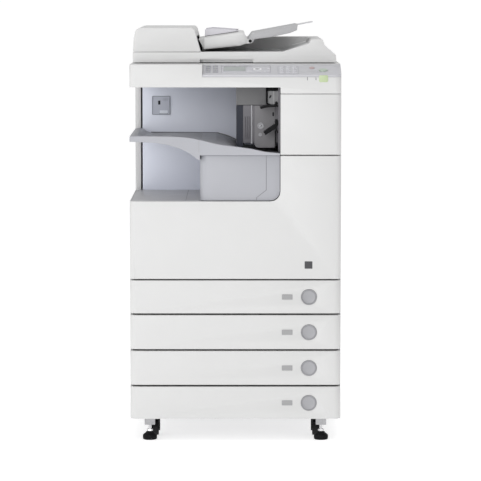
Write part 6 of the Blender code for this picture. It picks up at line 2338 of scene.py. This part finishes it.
@dataclass
class Engine(Assembly):
    """What the front covers hide: plates, drum, fuser, toner bottle, gears and levers.

    Attributes:
        gear_width: Width of a gear.
        tooth: Length of a gear's tooth.
    """

    gear_width: float = 0.0044
    tooth: float = 0.0016

    def build(self) -> None:
        """Makes the engine's pieces."""
        for node in ("engine_deck", "front_engine_plate", "rear_engine_plate"):
            self.moulded(node, STEEL, 0.0004)
        self.roller("drum", DRUM, BLACK, 0.030)
        self.roller("fuser_roller", FUSER, STEEL, 0.020)
        self.bottle()
        self.levers()

    def roller(self, node: str, skin: Finish, ends: Finish, radius: float) -> None:
        """A coated roller with end flanges, its shaft and a gear.

        Args:
            node: The roller's node and body.
            skin: Its coating.
            ends: What its flanges are made of.
            radius: Its radius.
        """
        low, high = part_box(node)
        x, z = (low.x + high.x) / 2, (low.z + high.z) / 2
        start, end = low.y + 0.021, high.y - 0.021
        barrel = turned([(0, 0.0040), (radius - 0.0010, 0.0040), (radius, 0.0048),
            (radius, end - start - 0.0048), (radius - 0.0010, end - start - 0.0040),
            (0, end - start - 0.0040)], (x, start, z), (0, 1, 0), 64)
        self.piece(f"{node}_barrel", barrel, skin, node, node)
        for side, y, way in (("front", start + 0.0041, -1), ("back", end - 0.0041, 1)):
            flange = turned([(0, 0), (radius - 0.0016, 0), (radius - 0.0016, 0.0030),
                (radius - 0.0030, 0.0040), (radius * 0.55, 0.0030), (radius * 0.5, 0.0040),
                (0.0062, 0.0040), (0, 0.0040)], (x, y, z), (0, way, 0), 48)
            self.piece(f"{node}_flange_{side}", flange, ends, node)
        shaft = rod(0.0058, 0.0008, (x, low.y, z), high.y - low.y, 32)
        self.piece(f"{node}_shaft", shaft, BRIGHT, node)
        self.gear(node, (x, high.y - 0.0052, z), radius * 0.8, 0.0055)

    def gear(self, node: str, base: Point, radius: float, bore: float) -> None:
        """A gear on the back end of a turning piece.

        Args:
            node: The body that it turns with.
            base: Where its axis starts.
            radius: Its radius at the teeth's roots.
            bore: Radius of its bore.
        """
        width = self.gear_width
        loop = [(bore, 0), (radius * 0.45, 0), (radius * 0.5, 0.0012), (radius * 0.8, 0.0012),
            (radius * 0.85, 0), (radius, 0), (radius, width), (radius * 0.85, width),
            (radius * 0.8, width - 0.0012), (radius * 0.5, width - 0.0012), (radius * 0.45, width),
            (bore, width)]
        self.piece(f"{node}_gear", ring(loop, base, (0, 1, 0), 48), KEY_WHITE, node)
        count = max(12, round(2 * math.pi * radius / 0.0034))
        tooth = prism([(-0.0006, -0.00105), (self.tooth, -0.0005), (self.tooth, 0.0005),
            (-0.0006, 0.00105)], Z, 0.0002, width - 0.0002)
        self.row(f"{node}_gear_teeth", Round(base, (0, 1, 0), radius, count), tooth, KEY_WHITE,
            node)

    def bottle(self) -> None:
        """The toner bottle with its spiral ridge, handle and neck."""
        node = "toner_bottle"
        low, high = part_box(node)
        x, z, radius = (low.x + high.x) / 2, (low.z + high.z) / 2, (high.x - low.x) / 2
        length = high.y - low.y
        body = radius - 0.0022
        profile = [(0, 0.0016), (0.0080, 0.0016), (0.0090, 0), (radius - 0.0110, 0),
            (radius - 0.0040, 0.0040), (radius - 0.0004, 0.0110), (radius - 0.0002, 0.0190),
            (body, 0.0230), (body, length - 0.0420), (body * 0.8, length - 0.0330),
            (0.0150, length - 0.0210), (0.0116, length - 0.0195), (0.0116, length - 0.0008),
            (0.0108, length), (0, length)]
        self.piece("toner_bottle_body", turned(profile, (x, low.y, z), (0, 1, 0), 64), TONER, node,
            node)
        ridge = Thread((x, low.y + 0.0290, z), (0, 1, 0), body - 0.0002, length - 0.0750, 11.0,
            0.0017)
        self.row("toner_bottle_ridge", ridge, None, TONER, node)
        bar = block((x - 0.0240, low.y + 0.0002, z - 0.0040),
            (x + 0.0240, low.y + 0.0030, z + 0.0040), 0.0012)
        self.piece("toner_bottle_handle", bar, GREEN_TAB, node)
        self.gear(node, (x, high.y - 0.0052, z), 0.0200, 0.0110)

    def levers(self) -> None:
        """The green release lever and knob in front of the front plate, and plate screws."""
        low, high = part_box("front_engine_plate")
        face = low.y
        knob = turned([(0, -SINK), (0.0130, -SINK), (0.0136, 0.0004), (0.0136, 0.0050),
            (0.0126, 0.0058), (0, 0.0056)], (0.130, face, 0.560), (0, -1, 0), 40)
        self.piece("jam_knob", knob, GREEN_TAB)
        grip = block((-0.0004, -0.0010, 0.0004), (0.0009, 0.0010, 0.0048), 0.0002)
        self.row("jam_knob_grips", Round((0.130, face, 0.560), (0, -1, 0), 0.0136, 18), grip,
            GREEN_TAB)
        hub = turned([(0, -SINK), (0.0090, -SINK), (0.0090, 0.0030), (0.0080, 0.0036), (0, 0.0036)],
            (0.060, face, 0.600), (0, -1, 0), 32)
        arm = stripe([(0.060, 0.600), (0.045, 0.575), (0.040, 0.540)], 0.0090, Y, face - 0.0030,
            face - 0.0004)
        self.piece("release_lever", merged(hub, arm), GREEN_TAB)
        places = [(x, face, z) for x in (low.x + 0.015, -0.130, 0.0, high.x - 0.015)
            for z in (low.z + 0.015, low.z + 0.180)]
        self.screws("front_plate_screws", places, (0, -1, 0), 0.0040)


GROUPS = (Stand, Drawers, Covers, Engine, DeliveryRecess, Scanner, ControlPanel, Feeder)


# Whole machine ----------------------------------------------------------------------------


def main() -> None:
    """Builds the studio and every group of the machine."""
    logging.basicConfig(level=logging.INFO, format="%(name)s: %(message)s")
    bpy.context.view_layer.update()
    Studio().build()
    trees: dict[type, Tree] = {}
    groups: list[Assembly] = [kind(trees=trees) for kind in GROUPS]
    for group in groups:
        group.build()
        log.info("%s: %d pieces", type(group).__name__, len(group.made))


if __name__ == "__main__":
    main()
